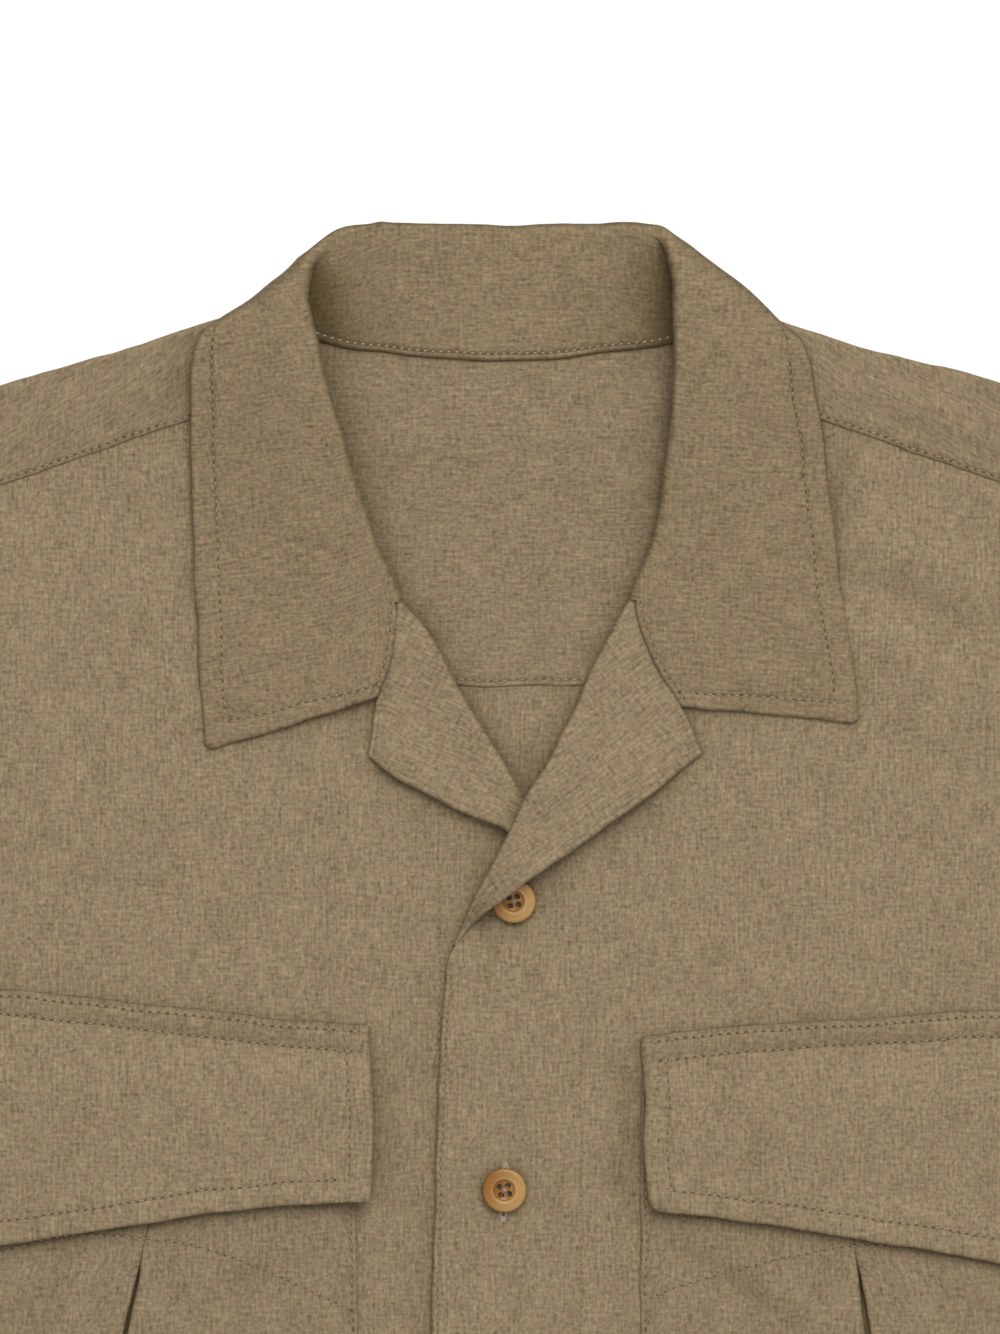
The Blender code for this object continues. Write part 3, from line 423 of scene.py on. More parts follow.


# Mixed-colour wool: streaks along both yarns, flecks and clouds, with painted shade in folds and seams
def melangeMaterial(name, shade="plain", depth=(1.0, 1.0, 1.0)):
    material, shader, wire = newMaterial(
        name, 0.86, Sheen_Weight=0.1, Sheen_Roughness=0.45, Sheen_Tint=melange["sheen"],
        Specular_IOR_Level=0.22)
    # depth darkens the colours, for the painted-shade copies of the wool
    tints = {key: tuple(c * d for c, d in zip(colour, depth)) + (1.0,)
             for key, colour in melange["colours"].items()}
    grain = wire.add("ShaderNodeUVMap", {"uv_map": "grain"}).stretched(1000.0, 1000.0)     # millimetres
    marks, tone = {}, 0.5
    for key, (across, along, share) in melange["marks"].items():
        marks[key] = grain.stretched(across, along).noise()
        tone = tone + (marks[key] - 0.5) * share
    colour = tone.clamped().blend(tints["dark"], tints["light"])
    hueAcross, hueAlong, hueRough = melange["hue"]
    hue = grain.stretched(hueAcross, hueAlong).noise(hueRough)
    colour = hue.ranged(*melange["rustFrom"]).blend(colour, tints["rust"])
    colour = hue.ranged(*melange["mossFrom"]).blend(colour, tints["moss"])
    # painted shade mixed into the wool's colour
    paintedCreviceShade(wire, shade).blend(colour, crevice["colour"]).into(shader, "Base Color")
    height = marks["fleck"] + marks["warp"] * melange["bumpYarn"] + marks["weft"] * melange["bumpYarn"]
    relief = {"Strength": melange["bump"], "Distance": melange["bumpDepth"], "Height": height}
    wire.add("ShaderNodeBump", {}, relief).into(shader, "Normal")
    return material


def plainFinish(name, colour, roughness, variation, scale):     # thread and other small things
    material, shader, wire = newMaterial(name, roughness)
    place = wire.add("ShaderNodeTexCoord", out=3)
    mottle = wire.add("ShaderNodeTexNoise", {}, {"Vector": place, "Scale": scale, "Detail": 2.0})
    dark = tuple(c * (1.0 - variation) for c in colour) + (1.0,)
    light = tuple(c * (1.0 + variation) for c in colour) + (1.0,)
    mottle.blend(dark, light).into(shader, "Base Color")
    return material


# the collar's, yoke's and pocket's wools are darker copies: painted shade
wool = melangeMaterial("melangeWool")
shadedCrossWool = melangeMaterial("melangeWoolCrossShaded", "stand", melange["crossCutShade"])
shadedYokeWool = melangeMaterial("melangeWoolYokeShaded", depth=melange["yokeCut"])
shadedPocketWool = melangeMaterial("melangeWoolPocketShaded", "slit", melange["pocketCut"])
threadFinish = plainFinish("sewingThread", (0.245, 0.186, 0.112), 0.7, 0.2, 900.0)
paleThreadFinish = plainFinish("paleThread", (0.25, 0.195, 0.128), 0.6, 0.25, 900.0)
# painted shade: dark colour for the discs and strips that stand in for needle holes and buttonhole slits
needleShadeFinish = plainFinish("needleHoleShade", (0.088, 0.054, 0.022), 0.95, 0.35, 600.0)
holeThreadFinish = plainFinish("buttonholeThread", (0.285, 0.226, 0.165), 0.6, 0.25, 1500.0)
print("materials made")


# Cloth pieces
def placed(name, data):         # a new object in the scene
    item = bpy.data.objects.new(name, data)
    bpy.context.scene.collection.objects.link(item)
    return item


def meshFrom(shape, name):      # a finished bmesh becomes a mesh
    mesh = bpy.data.meshes.new(name)
    shape.to_mesh(mesh)
    shape.free()
    return mesh


def meshPiece(name, mesh, material):
    mesh.materials.append(material)
    return placed(name, mesh)


def plainMesh(piece):           # the modifiers' result becomes the piece's own mesh
    evaluated = piece.evaluated_get(bpy.context.evaluated_depsgraph_get())
    made = bpy.data.meshes.new_from_object(evaluated)
    piece.modifiers.clear()
    old = piece.data
    piece.data = made
    bpy.data.meshes.remove(old)
    made.name = piece.name
    made.shade_smooth()
    return piece


def clothPiece(name, points, grain, wall, keep=None, loop=False, loose=None, finish=wool):
    rows, columns = points.shape[:2]
    if loose is not None:       # puckers where a seam draws the cloth in
        points = points.copy()
        puckers = ripple(points[..., 0], points[..., 1], *relaxed["puckerWave"])
        points[..., 2] += relaxed["pucker"] * loose * puckers
    points = swayed(points)
    number = np.arange(rows * columns).reshape(rows, columns)
    faces = stacked(number[:-1, :-1], number[:-1, 1:], number[1:, 1:], number[1:, :-1])
    if loop:
        closing = stacked(number[:-1, -1], number[:-1, 0], number[1:, 0], number[1:, -1])
        faces = np.concatenate((faces, closing[:, None]), axis=1)
    faces = faces.reshape(-1, 4) if keep is None else faces[keep]
    places = (points.reshape(-1, 3) - (0.0, centreY, 0.0)) * mm
    mesh = bpy.data.meshes.new(name)
    mesh.from_pydata(places.tolist(), [], faces.tolist())
    layer = mesh.uv_layers.new(name="grain")
    corners = np.empty(len(mesh.loops), np.int32)
    mesh.loops.foreach_get("vertex_index", corners)
    layer.data.foreach_set("uv", (grain.reshape(-1, 2)[corners] * mm).astype(np.float32).ravel())
    shape = bmesh.new()
    shape.from_mesh(mesh)
    stray = [vertex for vertex in shape.verts if not vertex.link_faces]
    bmesh.ops.delete(shape, geom=stray, context="VERTS")
    bmesh.ops.recalc_face_normals(shape, faces=shape.faces)
    shape.to_mesh(mesh)
    shape.free()
    piece = meshPiece(name, mesh, finish)
    solid = piece.modifiers.new("wall", "SOLIDIFY")
    solid.thickness = wall * mm
    solid.offset = 0.0
    solid.use_quality_normals = True
    edge = piece.modifiers.new("roundedEdge", "BEVEL")
    edge.width = cloth["edgeRound"] * wall * mm
    edge.segments = 2
    edge.limit_method = "ANGLE"
    edge.angle_limit = math.radians(cloth["edgeAngle"])
    return plainMesh(piece)


def dressed(piece, node):     # rides with the body and stands for its solid
    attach(piece, "root")
    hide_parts(node)
    print("cloth piece", piece.name, len(piece.data.polygons), "faces")


seams = {"firm": [], "slight": [], "faint": [], "pale": []}     # rows of sewing: piece and plan line


def sew(piece, line, style="firm"):
    seams[style].append((piece, swayed(line[:, :2])))


# Back
backCut = {"columns": 72, "rows": 90, "sideGap": 0.4, "flat": (0.58, 0.60), "area": 0.325}


def makeBack():
    seamY = body["backSeam"]
    tucked = seamY + np.array((cloth["tuck"], cloth["tuck"] / 2.0, 0.0))
    y = np.concatenate((tucked, np.linspace(seamY, -body["length"], backCut["rows"])[1:]))[:, None]
    x = (edgeX(y) - backCut["sideGap"]) * np.linspace(-1.0, 1.0, backCut["columns"])
    points = stacked(x, y, body["backLevel"])
    piece = clothPiece("backPanel", points, points[..., :2], cloth["single"])
    dressed(piece, "back")


# Yoke, over the shoulders to the front
yokeCut = {
    "shoulderColumns": 56, "neckColumns": 44, "backRows": 56, "foldRows": 9, "frontRows": 18,
    "backRun": 100.0, "frontRun": 37.0,     # lengths that space the rows
    "neckEdge": 3.2, "foldInset": 0.6,
    "backLap": (0.62, 3.0, 14.0),           # lift over the seam's layers, and where it fades
    "frontLap": (0.7, 3.0, 10.0),
    "full": (2.3, 15.0, 8.0),               # ridge along the front seam: height, distance and reach
    "fullFrom": (104.0, 122.0, 0.35),       # lower beside the collar
    "fullArm": (2.0, 14.0),
    "backStitch": (92.0, 1.9), "frontStitch": (0.13, 0.99), "frontStitchIn": (0.55, 1.75),
    "flat": (0.464, 0.165), "area": 0.0619,
}


def makeYoke():
    neckHalf, armX, seamY = body["neckHalf"], body["shoulderPoint"][0], body["backSeam"]
    shoulder = neckHalf + spread(armX - neckHalf, plainEnd, closeEdge, yokeCut["shoulderColumns"])
    neck = np.linspace(-neckHalf, neckHalf, yokeCut["neckColumns"] + 2)[1:-1]
    across = np.concatenate((-shoulder[::-1], neck, shoulder))
    onNeck = np.abs(across) < neckHalf - 0.01
    roll = shoulderRoll(across, shoulderY(across))
    centre = shoulderY(across) - roll - yokeCut["foldInset"]
    end = np.where(onNeck, neckY(across) + yokeCut["neckEdge"], centre)
    share = np.clip((np.abs(across) - neckHalf) / (armX - neckHalf), 0.0, 1.0)
    points, grain = [], []
    lift, liftFrom, liftTo = yokeCut["backLap"]
    run = yokeCut["backRun"]
    for step in spread(run, closeEdge, plainEnd, yokeCut["backRows"]) / run:    # up the back
        y = seamY + (end - seamY) * step
        x = across * edgeX(y) / armX
        edge = turnedEdge(y - seamY, closeStitch, drop=0.3, swell=0.1)
        z = yokeHeight(x, y) + (lift * (1.0 - ease(liftFrom, liftTo, y - seamY)) + edge)
        points.append(stacked(x, y, z))
        grain.append(stacked(x, y))
    low = yokeHeight(across, centre)
    high = frontHeight(across, centre)
    for angle in np.linspace(-math.pi / 2.0, math.pi / 2.0, yokeCut["foldRows"])[1:]:    # over the shoulder
        y = np.where(onNeck, end, centre + roll * math.cos(angle))
        z = np.where(onNeck, points[-1][:, 2], (low + high) / 2.0 + (high - low) / 2.0 * math.sin(angle))
        points.append(stacked(across, y, z))
        grain.append(stacked(across, shoulderY(across) + roll * angle))
    seamNeck, seamArm = np.array(body["yokeSeamNeck"]), np.array(body["yokeSeamArm"])
    seam = seamNeck + (seamArm - seamNeck) * share[:, None]
    length = np.hypot(seam[:, 0] - np.abs(across), seam[:, 1] - centre)
    lift, liftFrom, liftTo = yokeCut["frontLap"]
    full, fullAt, fullReach = yokeCut["full"]
    fullFrom, fullTo, least = yokeCut["fullFrom"]
    run = yokeCut["frontRun"]
    for down in spread(run, plainEnd, closeEdge, yokeCut["frontRows"])[1:] / run:   # down to the front seam
        y = centre + (seam[:, 1] - centre) * down
        x = np.abs(across) + (seam[:, 0] - np.abs(across)) * down
        straight = armX + (seamArm[0] - armX) * down
        x = np.sign(across) * (x + (edgeX(y) - straight) * share)
        left = length * (1.0 - down)
        arm = np.abs(edgeX(y) - np.abs(x))
        overSeam = lift * (1.0 - ease(liftFrom, liftTo, left))
        overArm = cloth["seamLift"] * (1.0 - ease(*cloth["seamLiftTo"], arm))
        ridge = full * bump(left, fullAt, fullReach)
        ridge = ridge * (least + (1.0 - least) * ease(fullFrom, fullTo, np.abs(x)))
        ridge = np.maximum(overSeam, overArm) + ridge * ease(*yokeCut["fullArm"], arm)
        z = frontHeight(x, y) + ridge + turnedEdge(left, closeStitch, drop=0.8)
        z = np.where(onNeck, points[-1][:, 2], z + turnedEdge(arm, closeStitch, drop=0.8))
        x = np.where(onNeck, across, x)
        y = np.where(onNeck, end, y)
        points.append(stacked(x, y, z))
        grain.append(stacked(x, 2.0 * shoulderY(across) - y))
    points, grain = np.array(points), np.array(grain)
    pastBack = np.arange(len(points) - 1)[:, None] >= yokeCut["backRows"] + len(closeEdge)
    inNeck = (onNeck[:-1] | onNeck[1:])[None, :]
    piece = clothPiece(
        "yokePanel", points, grain[..., ::-1], cloth["single"], keep=~(pastBack & inNeck), finish=shadedYokeWool)
    half, inset = yokeCut["backStitch"]
    sew(piece, stacked(np.linspace(-half, half, 80), seamY + inset), "slight")
    for way in (1.0, -1.0):
        line = seamNeck + (seamArm - seamNeck) * np.linspace(*yokeCut["frontStitch"], 60)[:, None]
        sew(piece, (line + yokeCut["frontStitchIn"]) * (way, 1.0))
        arm = outerEdge(np.linspace(0.01, edgePlace(seamArm[1]) - 0.004, 20))
        sew(piece, (arm - (sewing["arm"], 0.0)) * (way, 1.0), "slight")
    dressed(piece, "yoke")


# Fronts: inner edge x and y of each section, and where it ends along armhole and side
leftFront = {
    "edge": ((75.0, -26.0, 0.12), (70.6, -48.0, 0.22), (59.2, -79.0, 0.34), (48.4, -99.6, 0.44),
             (37.0, -118.4, 0.54), (20.6, -151.4, 0.66), (9.9, -168.6, 0.76), (-1.6, -192.2, 0.85),
             (-9.4, -206.0, 0.92), (-16.8, -216.6, 0.97), (-19.7, -223.0, 1.0), (-20.7, -233.0, 1.03),
             (-21.9, -250.0, 1.07), (-23.1, -290.0, 1.16), (-24.7, -350.0, 1.28), (-25.2, -500.0, 1.52),
             (-25.5, -722.0, 2.0)),
    "stitchFrom": -226.0, "facingLine": (25.9, -250.0),
}
rightFront = {
    "edge": ((75.6, -26.2, 0.12), (70.2, -50.0, 0.22), (55.0, -82.0, 0.34), (41.0, -100.6, 0.44),
             (30.2, -113.2, 0.54), (20.8, -128.4, 0.64), (5.4, -154.0, 0.75), (-2.8, -168.4, 0.83),
             (-7.4, -181.2, 0.90), (-9.8, -193.0, 1.0), (-16.0, -210.0, 1.04), (-20.0, -228.0, 1.08),
             (-22.0, -250.0, 1.13), (-22.3, -300.0, 1.2), (-22.4, -500.0, 1.52), (-22.5, -722.0, 2.0)),
    "stitchFrom": -236.0, "facingLine": (22.5, -168.0),
}
frontCut = {
    "shownPitch": 2.5, "shownTo": -370.0, "hiddenRows": 70, "columns": 98,
    "edgeFade": (8.0, -4.0), "pullFade": 20.0,      # above and below where the edge's stitches start
    "sideFrom": (0.985, 1.02), "sideLevel": 1.1, "sideReach": 7.0,
    "hemStitch": 20.0, "hemEnds": (4.0, 3.0), "facingEnd": 25.0, "armEnd": 0.985,
    "flat": (0.316, 0.70), "area": 0.1906,
}


def makeFront(name, node, cut, side, height):
    table = np.array(cut["edge"])
    armStart = edgePlace(body["yokeSeamArm"][1])
    table[0, 2] = armStart
    places = np.linspace(0.0, 1.0, 3001)
    inner = through(table[:, :2], places)
    ends = np.interp(places * (len(table) - 1), np.arange(len(table)), table[:, 2])
    run = runAlong(inner)
    shown = np.interp(-frontCut["shownTo"], -inner[:, 1], run)
    hidden = run[-1] - spread(run[-1] - shown, closeEdge, plainEnd, frontCut["hiddenRows"])[::-1][1:]
    wanted = np.concatenate((np.linspace(0.0, shown, round(shown / frontCut["shownPitch"])), hidden))
    inner, ends = pickedAlong(inner, run, wanted), np.interp(wanted, run, ends)
    stitchFrom = cut["stitchFrom"]
    fadeAbove, fadeBelow = frontCut["edgeFade"]
    points, loose = [], []
    for start, finish, end in zip(inner, outerEdge(ends), ends):
        length = np.hypot(*(finish - start))
        place = spread(length, closeEdge, closeEdge, frontCut["columns"])
        spot = start + (finish - start) * (place / length)[:, None]
        x, y, far = side * spot[:, 0], spot[:, 1], length - place
        turned = ease(stitchFrom + fadeAbove, stitchFrom + fadeBelow, y)
        edge = turnedEdge(place, closeStitch, drop=0.85) * turned
        hem = turnedEdge(y + body["length"], frontCut["hemStitch"], swell=0.1)
        onSide = ease(*frontCut["sideFrom"], end)
        ridge = cloth["seamLift"] * (1.0 - ease(*cloth["seamLiftTo"], far)) + turnedEdge(far, closeStitch)
        z = height(x, y) + edge + hem + ridge * (1.0 - onSide)
        z = z + (frontCut["sideLevel"] - z) * (1.0 - ease(0.0, frontCut["sideReach"], far)) * onSide
        points.append(stacked(x, y, z))
        pulled = seamPull(place, closeStitch) * ease(stitchFrom + frontCut["pullFade"], stitchFrom, y)
        loose.append(pulled + seamPull(far, closeStitch) * (1.0 - onSide))
    tucked = [points[0] + (0.0, reach, 0.0) for reach in (cloth["tuck"], cloth["tuck"] / 2.0)]
    for row in tucked:
        row[:, 2] = height(row[:, 0], row[:, 1]) - cloth["tuckDrop"]
    points = np.array(tucked + points)
    loose = np.array(loose[:1] * len(tucked) + loose)
    piece = clothPiece(name, points, points[..., :2], cloth["single"], loose=loose)
    line = points[:, closeRow, :2]
    sew(piece, line[line[:, 1] < stitchFrom], "slight")
    arm = outerEdge(np.linspace(armStart + 0.01, frontCut["armEnd"], 80))
    away = np.gradient(arm, axis=0)
    away = stacked(away[:, 1], -away[:, 0]) / np.hypot(*away.T)[:, None]
    sew(piece, (arm + away * sewing["arm"]) * (side, 1.0), "slight")
    facingX, top = cut["facingLine"]
    facingY = np.linspace(top, -body["length"] + frontCut["facingEnd"], 200)
    sew(piece, stacked(side * facingX, facingY), "faint")
    fromEdge, fromSide = frontCut["hemEnds"]
    hemX = np.linspace(line[-1, 0] + side * fromEdge, side * (body["hemHalf"] - fromSide), 140)
    sew(piece, stacked(hemX, frontCut["hemStitch"] - body["length"]), "slight")
    dressed(piece, node)


# Lapels: roll x, y and outer edge x, y of each section from the gorge to the break
leftLapel = {
    "sections": ((43.3, -99.0, 66.9, -151.2), (33.2, -116.4, 46.1, -167.2), (17.9, -149.9, 25.6, -181.9),
                 (7.3, -167.3, 11.9, -191.1), (-4.3, -190.8, -1.9, -201.2), (-10.3, -201.6, -8.0, -205.8),
                 (-13.0, -208.5, -11.6, -209.4), (-15.2, -212.9, -14.4, -213.0),
                 (-17.2, -216.6, -16.8, -216.7)),
    "gorge": ((43.3, -99.0), (49.5, -117.7), (59.7, -135.4)),
    "rows": 84, "roll": 1.15, "thin": (0.55, 0.8, 0.75), "sink": 1.5, "lift": (3.7, 0.52, 0.76),
    "flat": (0.060, 0.130), "area": 0.00376, "overButton": 2.7,
}
rightLapel = {
    "sections": ((36.0, -99.6, 46.0, -152.2), (26.4, -110.7, 35.8, -159.7), (17.9, -126.8, 22.2, -166.6),
                 (2.5, -152.4, 8.0, -173.5), (-5.7, -166.7, -1.0, -177.8), (-10.3, -180.0, -6.8, -187.0),
                 (-12.8, -191.0, -11.0, -195.0)),
    "gorge": ((36.0, -99.6), (38.6, -118.0), (43.0, -132.4)),
    "rows": 72, "roll": 1.4, "thin": (0.4, 0.65, 0.45), "sink": 0.0, "lift": (1.9, 0.72, 0.97),
    "flat": (0.056, 0.105), "area": 0.00267, "overButton": 0.0,
}
lapelCut = {
    "lie": 1.7, "foldPoints": 13, "leafPoints": 34,
    "settle": (0.0, 0.55),              # shares of the width over which the roll comes down
    "liftAcross": (0.5, 1.0), "liftAlong": (0.02, 0.12),
    "button": (3.4, -202.6), "buttonReach": (8.5, 30.0), "buttonAcross": (0.0, 0.5),
    "bowFade": 4.0, "notch": (-0.05, 0.03), "sinkFrom": (0.72, 0.98),
    "held": (-0.08, -0.01),             # to just short of the notch, the gorge is under the collar
    "tuckRoll": 0.8, "tuckDrop": 0.25, "tuckFold": 1.1, "tuckAcross": (0.0, 0.35),
}


def gorgeBow(cut, share):       # how far the gorge bows from the straight first section
    first = np.array(cut["sections"][0])
    gorge = np.array(cut["gorge"])
    fold, edge, notch = first[:2], first[2:], gorge[-1]
    part = gorgeEnd(cut)
    share = np.asarray(share)[:, None]
    along = through(gorge, np.clip(share[:, 0] / part, 0.0, 1.0)) - (fold + (edge - fold) * share)
    beyond = (notch - (fold + (edge - fold) * part)) * (1.0 - share) / (1.0 - part)
    return np.where(share > part, beyond, along)


def gorgeEnd(cut):              # share of the first section that is sewn to the collar
    first = np.array(cut["sections"][0])
    return np.hypot(*(np.array(cut["gorge"][-1]) - first[:2])) / np.hypot(*(first[2:] - first[:2]))


def lapelRise(cut, x, y, share, roll, place):
    rise = 2.0 * roll + (lapelCut["lie"] - 2.0 * roll) * ease(*lapelCut["settle"], share)
    lift, liftFrom, liftTo = cut["lift"]
    level = 1.0 - ease(liftFrom, liftTo, place)
    rise = rise + lift * ease(*lapelCut["liftAcross"], share) * ease(*lapelCut["liftAlong"], place) * level
    buttonX, buttonY = lapelCut["button"]
    over = (1.0 - ease(*lapelCut["buttonReach"], np.hypot(x - buttonX, y - buttonY))) * level**0.5
    return rise + cut["overButton"] * over * ease(*lapelCut["buttonAcross"], share)


def lapelRow(cut, side, height, place, run):    # one section, from the front round the roll to the outer edge
    section = through(np.array(cut["sections"]), place)
    fold, edge = section[:2], section[2:]
    away = unit(edge - fold)
    thinFrom, thinTo, thinner = cut["thin"]
    roll = cut["roll"] * (1.0 - thinner * ease(thinFrom, thinTo, place))
    centre = fold + away * roll
    length = np.hypot(*(edge - centre))
    reach = spread(length, plainEnd, closeEdge, lapelCut["leafPoints"])[1:]
    share = reach / length
    bow = gorgeBow(cut, share) * max(0.0, 1.0 - lapelCut["bowFade"] * place)
    spot = centre + (edge - centre) * share[:, None] + bow
    x, y = side * spot[:, 0], spot[:, 1]
    before, past = lapelCut["notch"]
    notch = ease(gorgeEnd(cut) + before, gorgeEnd(cut) + past, share)
    sunk = cut["sink"] * ease(*lapelCut["sinkFrom"], place)     # its end runs into the front's edge
    z = height(x, y) + lapelRise(cut, x, y, share, roll, place) - sunk
    z = z + turnedEdge(length - reach, closeStitch) + turnedEdge(place * run, closeStitch) * notch
    return centre, away, roll, height(side * centre[0], centre[1]) - sunk, share, spot, z


def makeLapel(name, node, cut, side, height):
    table = np.array(cut["sections"])
    run = np.hypot(*np.diff(table[:, 2:], axis=0).T).sum()
    turns = np.linspace(-math.pi / 2.0, math.pi / 2.0, lapelCut["foldPoints"])
    rows = []
    for place in spread(run, closeEdge, plainEnd, cut["rows"]) / run:
        centre, away, roll, base, share, spot, z = lapelRow(cut, side, height, place, run)
        arc = centre - np.cos(turns)[:, None] * away * roll
        arcZ = base + roll + roll * np.sin(turns)
        rows.append(np.column_stack((np.concatenate((arc, spot)), np.concatenate((arcZ, z)))))
    ahead = unit(table[0, :2] - through(table[:, :2], 0.02))
    gorge = np.array(cut["gorge"][-1]) - table[0, :2]
    outward = unit(np.array((-gorge[1], gorge[0])))
    centre, away, roll, base, share, spot, z = lapelRow(cut, side, height, 0.0, run)
    heldFrom, heldTo = lapelCut["held"]
    held = 1.0 - ease(gorgeEnd(cut) + heldFrom, gorgeEnd(cut) + heldTo, share)
    drop = lapelCut["tuckDrop"] + lapelCut["tuckFold"] * (1.0 - ease(*lapelCut["tuckAcross"], share))
    tucked = []
    for tuck in (cloth["tuck"], cloth["tuck"] / 2.0):      # seam allowance under the collar
        arc = centre - np.cos(turns)[:, None] * away * roll * lapelCut["tuckRoll"] + ahead * tuck
        arcZ = base + roll + roll * lapelCut["tuckRoll"] * np.sin(turns)
        under = spot + outward * tuck * held[:, None]
        low = z - drop * held
        tucked.append(np.column_stack((np.concatenate((arc, under)), np.concatenate((arcZ, low)))))
    points = np.array(tucked + rows)
    rollLine = unit(table[3, :2] - table[0, :2])
    offset = points[..., :2] - table[0, :2]
    grain = 2.0 * (offset @ rollLine)[..., None] * rollLine - offset    # yarns turned over at the roll
    points = points * (side, 1.0, 1.0)
    loose = np.zeros(points.shape[:2])
    loose[:, -len(closeEdge):] = seamPull(np.array(closeEdge)[::-1], closeStitch)
    piece = clothPiece(name, points, grain * (side, 1.0), cloth["double"], loose=loose)
    dressed(piece, node)


# Collar: seam, fold and outer edge x, y, z of each section, then turn, leaf only and roll
collarCut = {
    "back": (0.0, -16.6, 3.7, 0.0, 28.6, 3.1, 0.0, -23.0, 0.8, 180.0, 0.0, 2.0),
    "left": (
        (60.5, -135.0, 5.3, 60.5, -135.0, 5.3, 120.6, -140.4, 3.8, 0.0, 1.0, 1.0),
        (50.2, -117.4, 6.0, 50.2, -117.4, 6.0, 118.0, -119.0, 4.1, 0.0, 1.0, 1.0),
        (47.6, -98.6, 2.9, 43.4, -99.0, 4.4, 114.9, -98.0, 4.3, 0.0, 0.0, 1.75),
        (58.0, -78.4, 3.0, 51.2, -78.4, 5.5, 112.4, -79.0, 4.7, 0.0, 0.0, 2.0),
        (69.5, -48.0, 5.1, 55.9, -48.0, 8.4, 108.7, -50.0, 6.7, 0.0, 0.0, 2.3),
        (74.2, -22.0, 6.9, 57.6, -20.0, 11.4, 106.2, -24.0, 9.0, 0.0, 0.0, 2.4),
        (75.4, -9.0, 6.4, 57.5, 4.0, 12.4, 103.6, -14.6, 9.4, 6.0, 0.0, 2.3),
        (75.8, -4.0, 5.6, 56.3, 16.0, 11.0, 99.6, -9.4, 8.6, 28.0, 0.0, 2.2),
        (75.3, 0.0, 4.6, 53.4, 26.8, 7.2, 93.0, -5.4, 4.8, 85.0, 0.0, 1.9),
        (70.5, -6.5, 3.8, 45.5, 29.2, 4.2, 85.5, -3.5, 0.9, 150.0, 0.0, 2.0),
        (50.0, -12.3, 3.7, 28.0, 29.2, 3.1, 52.0, -16.0, 0.8, 180.0, 0.0, 2.0),
    ),
    "right": (
        (43.8, -131.8, 6.5, 43.8, -131.8, 6.5, 101.7, -150.0, 3.8, 0.0, 1.0, 1.0),
        (39.3, -117.8, 6.2, 39.3, -117.8, 6.2, 103.9, -122.0, 4.0, 0.0, 1.0, 1.0),
        (40.4, -99.2, 2.9, 36.1, -99.7, 4.4, 104.7, -101.0, 4.2, 0.0, 0.0, 1.75),
        (53.8, -80.6, 3.0, 45.0, -79.0, 5.6, 105.6, -84.0, 4.5, 0.0, 0.0, 2.0),
        (68.9, -49.5, 5.1, 54.4, -48.0, 8.6, 106.5, -52.0, 7.1, 0.0, 0.0, 2.3),
        (74.6, -24.0, 6.6, 62.2, -19.0, 12.2, 106.6, -27.0, 10.2, 0.0, 0.0, 2.4),
        (75.2, -11.0, 6.0, 66.3, 0.5, 12.8, 104.0, -15.0, 10.4, 5.0, 0.0, 2.4),
        (75.9, -5.0, 5.2, 66.0, 9.6, 12.0, 99.6, -9.8, 9.2, 30.0, 0.0, 2.4),
        (75.3, -1.0, 4.4, 62.3, 19.4, 7.6, 92.6, -6.0, 4.8, 115.0, 0.0, 2.4),
        (70.5, -7.0, 3.8, 51.5, 27.2, 4.2, 85.0, -4.0, 0.9, 155.0, 0.0, 2.2),
        (50.0, -13.1, 3.7, 30.0, 28.8, 3.1, 52.0, -16.0, 0.8, 180.0, 0.0, 2.0),
    ),
    "standPoints": 16, "foldPoints": 15, "leafPoints": 22, "stepsEach": 10, "fallLevel": 0.72,
    "frontGap": 21.0, "outward": (0.6, 0.8), "openCorner": (-57.0, 24.0, 14.5, 160),
    "fuller": ((-97.0, -5.0, 12.0, -3.3, 2.3), (-80.0, 8.0, 12.0, -1.3, 1.7), (-66.0, 17.5, 8.0, -1.0, 1.0),
               (-56.0, 25.0, 10.0, -1.6, 5.2), (-43.0, 28.0, 8.0, 0.0, 0.9), (80.0, 9.0, 16.0, 1.3, 1.6),
               (53.0, 28.0, 7.0, 0.0, -0.9), (107.0, -23.0, 13.0, -1.9, 0.0)),
    "point": 2.8, "pointRows": 12,
    "onTop": (8.5, 6.5), "inGorge": (2.0, 1.55),    # sections from the front that lie on top, or at the gorge
    "leafBow": (0.5, 0.9), "bowFrom": (1.0, 3.5), "sag": 0.75, "sagReach": 10.0,
    "tilt": (7.0, -3.0), "tiltFrom": (30.0, 60.0),
    "gorgeStitch": 1.5, "standStitch": 2.0, "frontPull": 0.8,
    "stitchTo": (6.0, 5.3), "seamShown": (-64.0, 56.5), "seamFrom": 8.0,
    "flat": (0.46, 0.118), "area": 0.0347,
}
gorgeEdge = (0.0, 0.3, 0.7, 1.1, collarCut["gorgeStitch"], 1.9, 2.4, 3.2, 4.6)


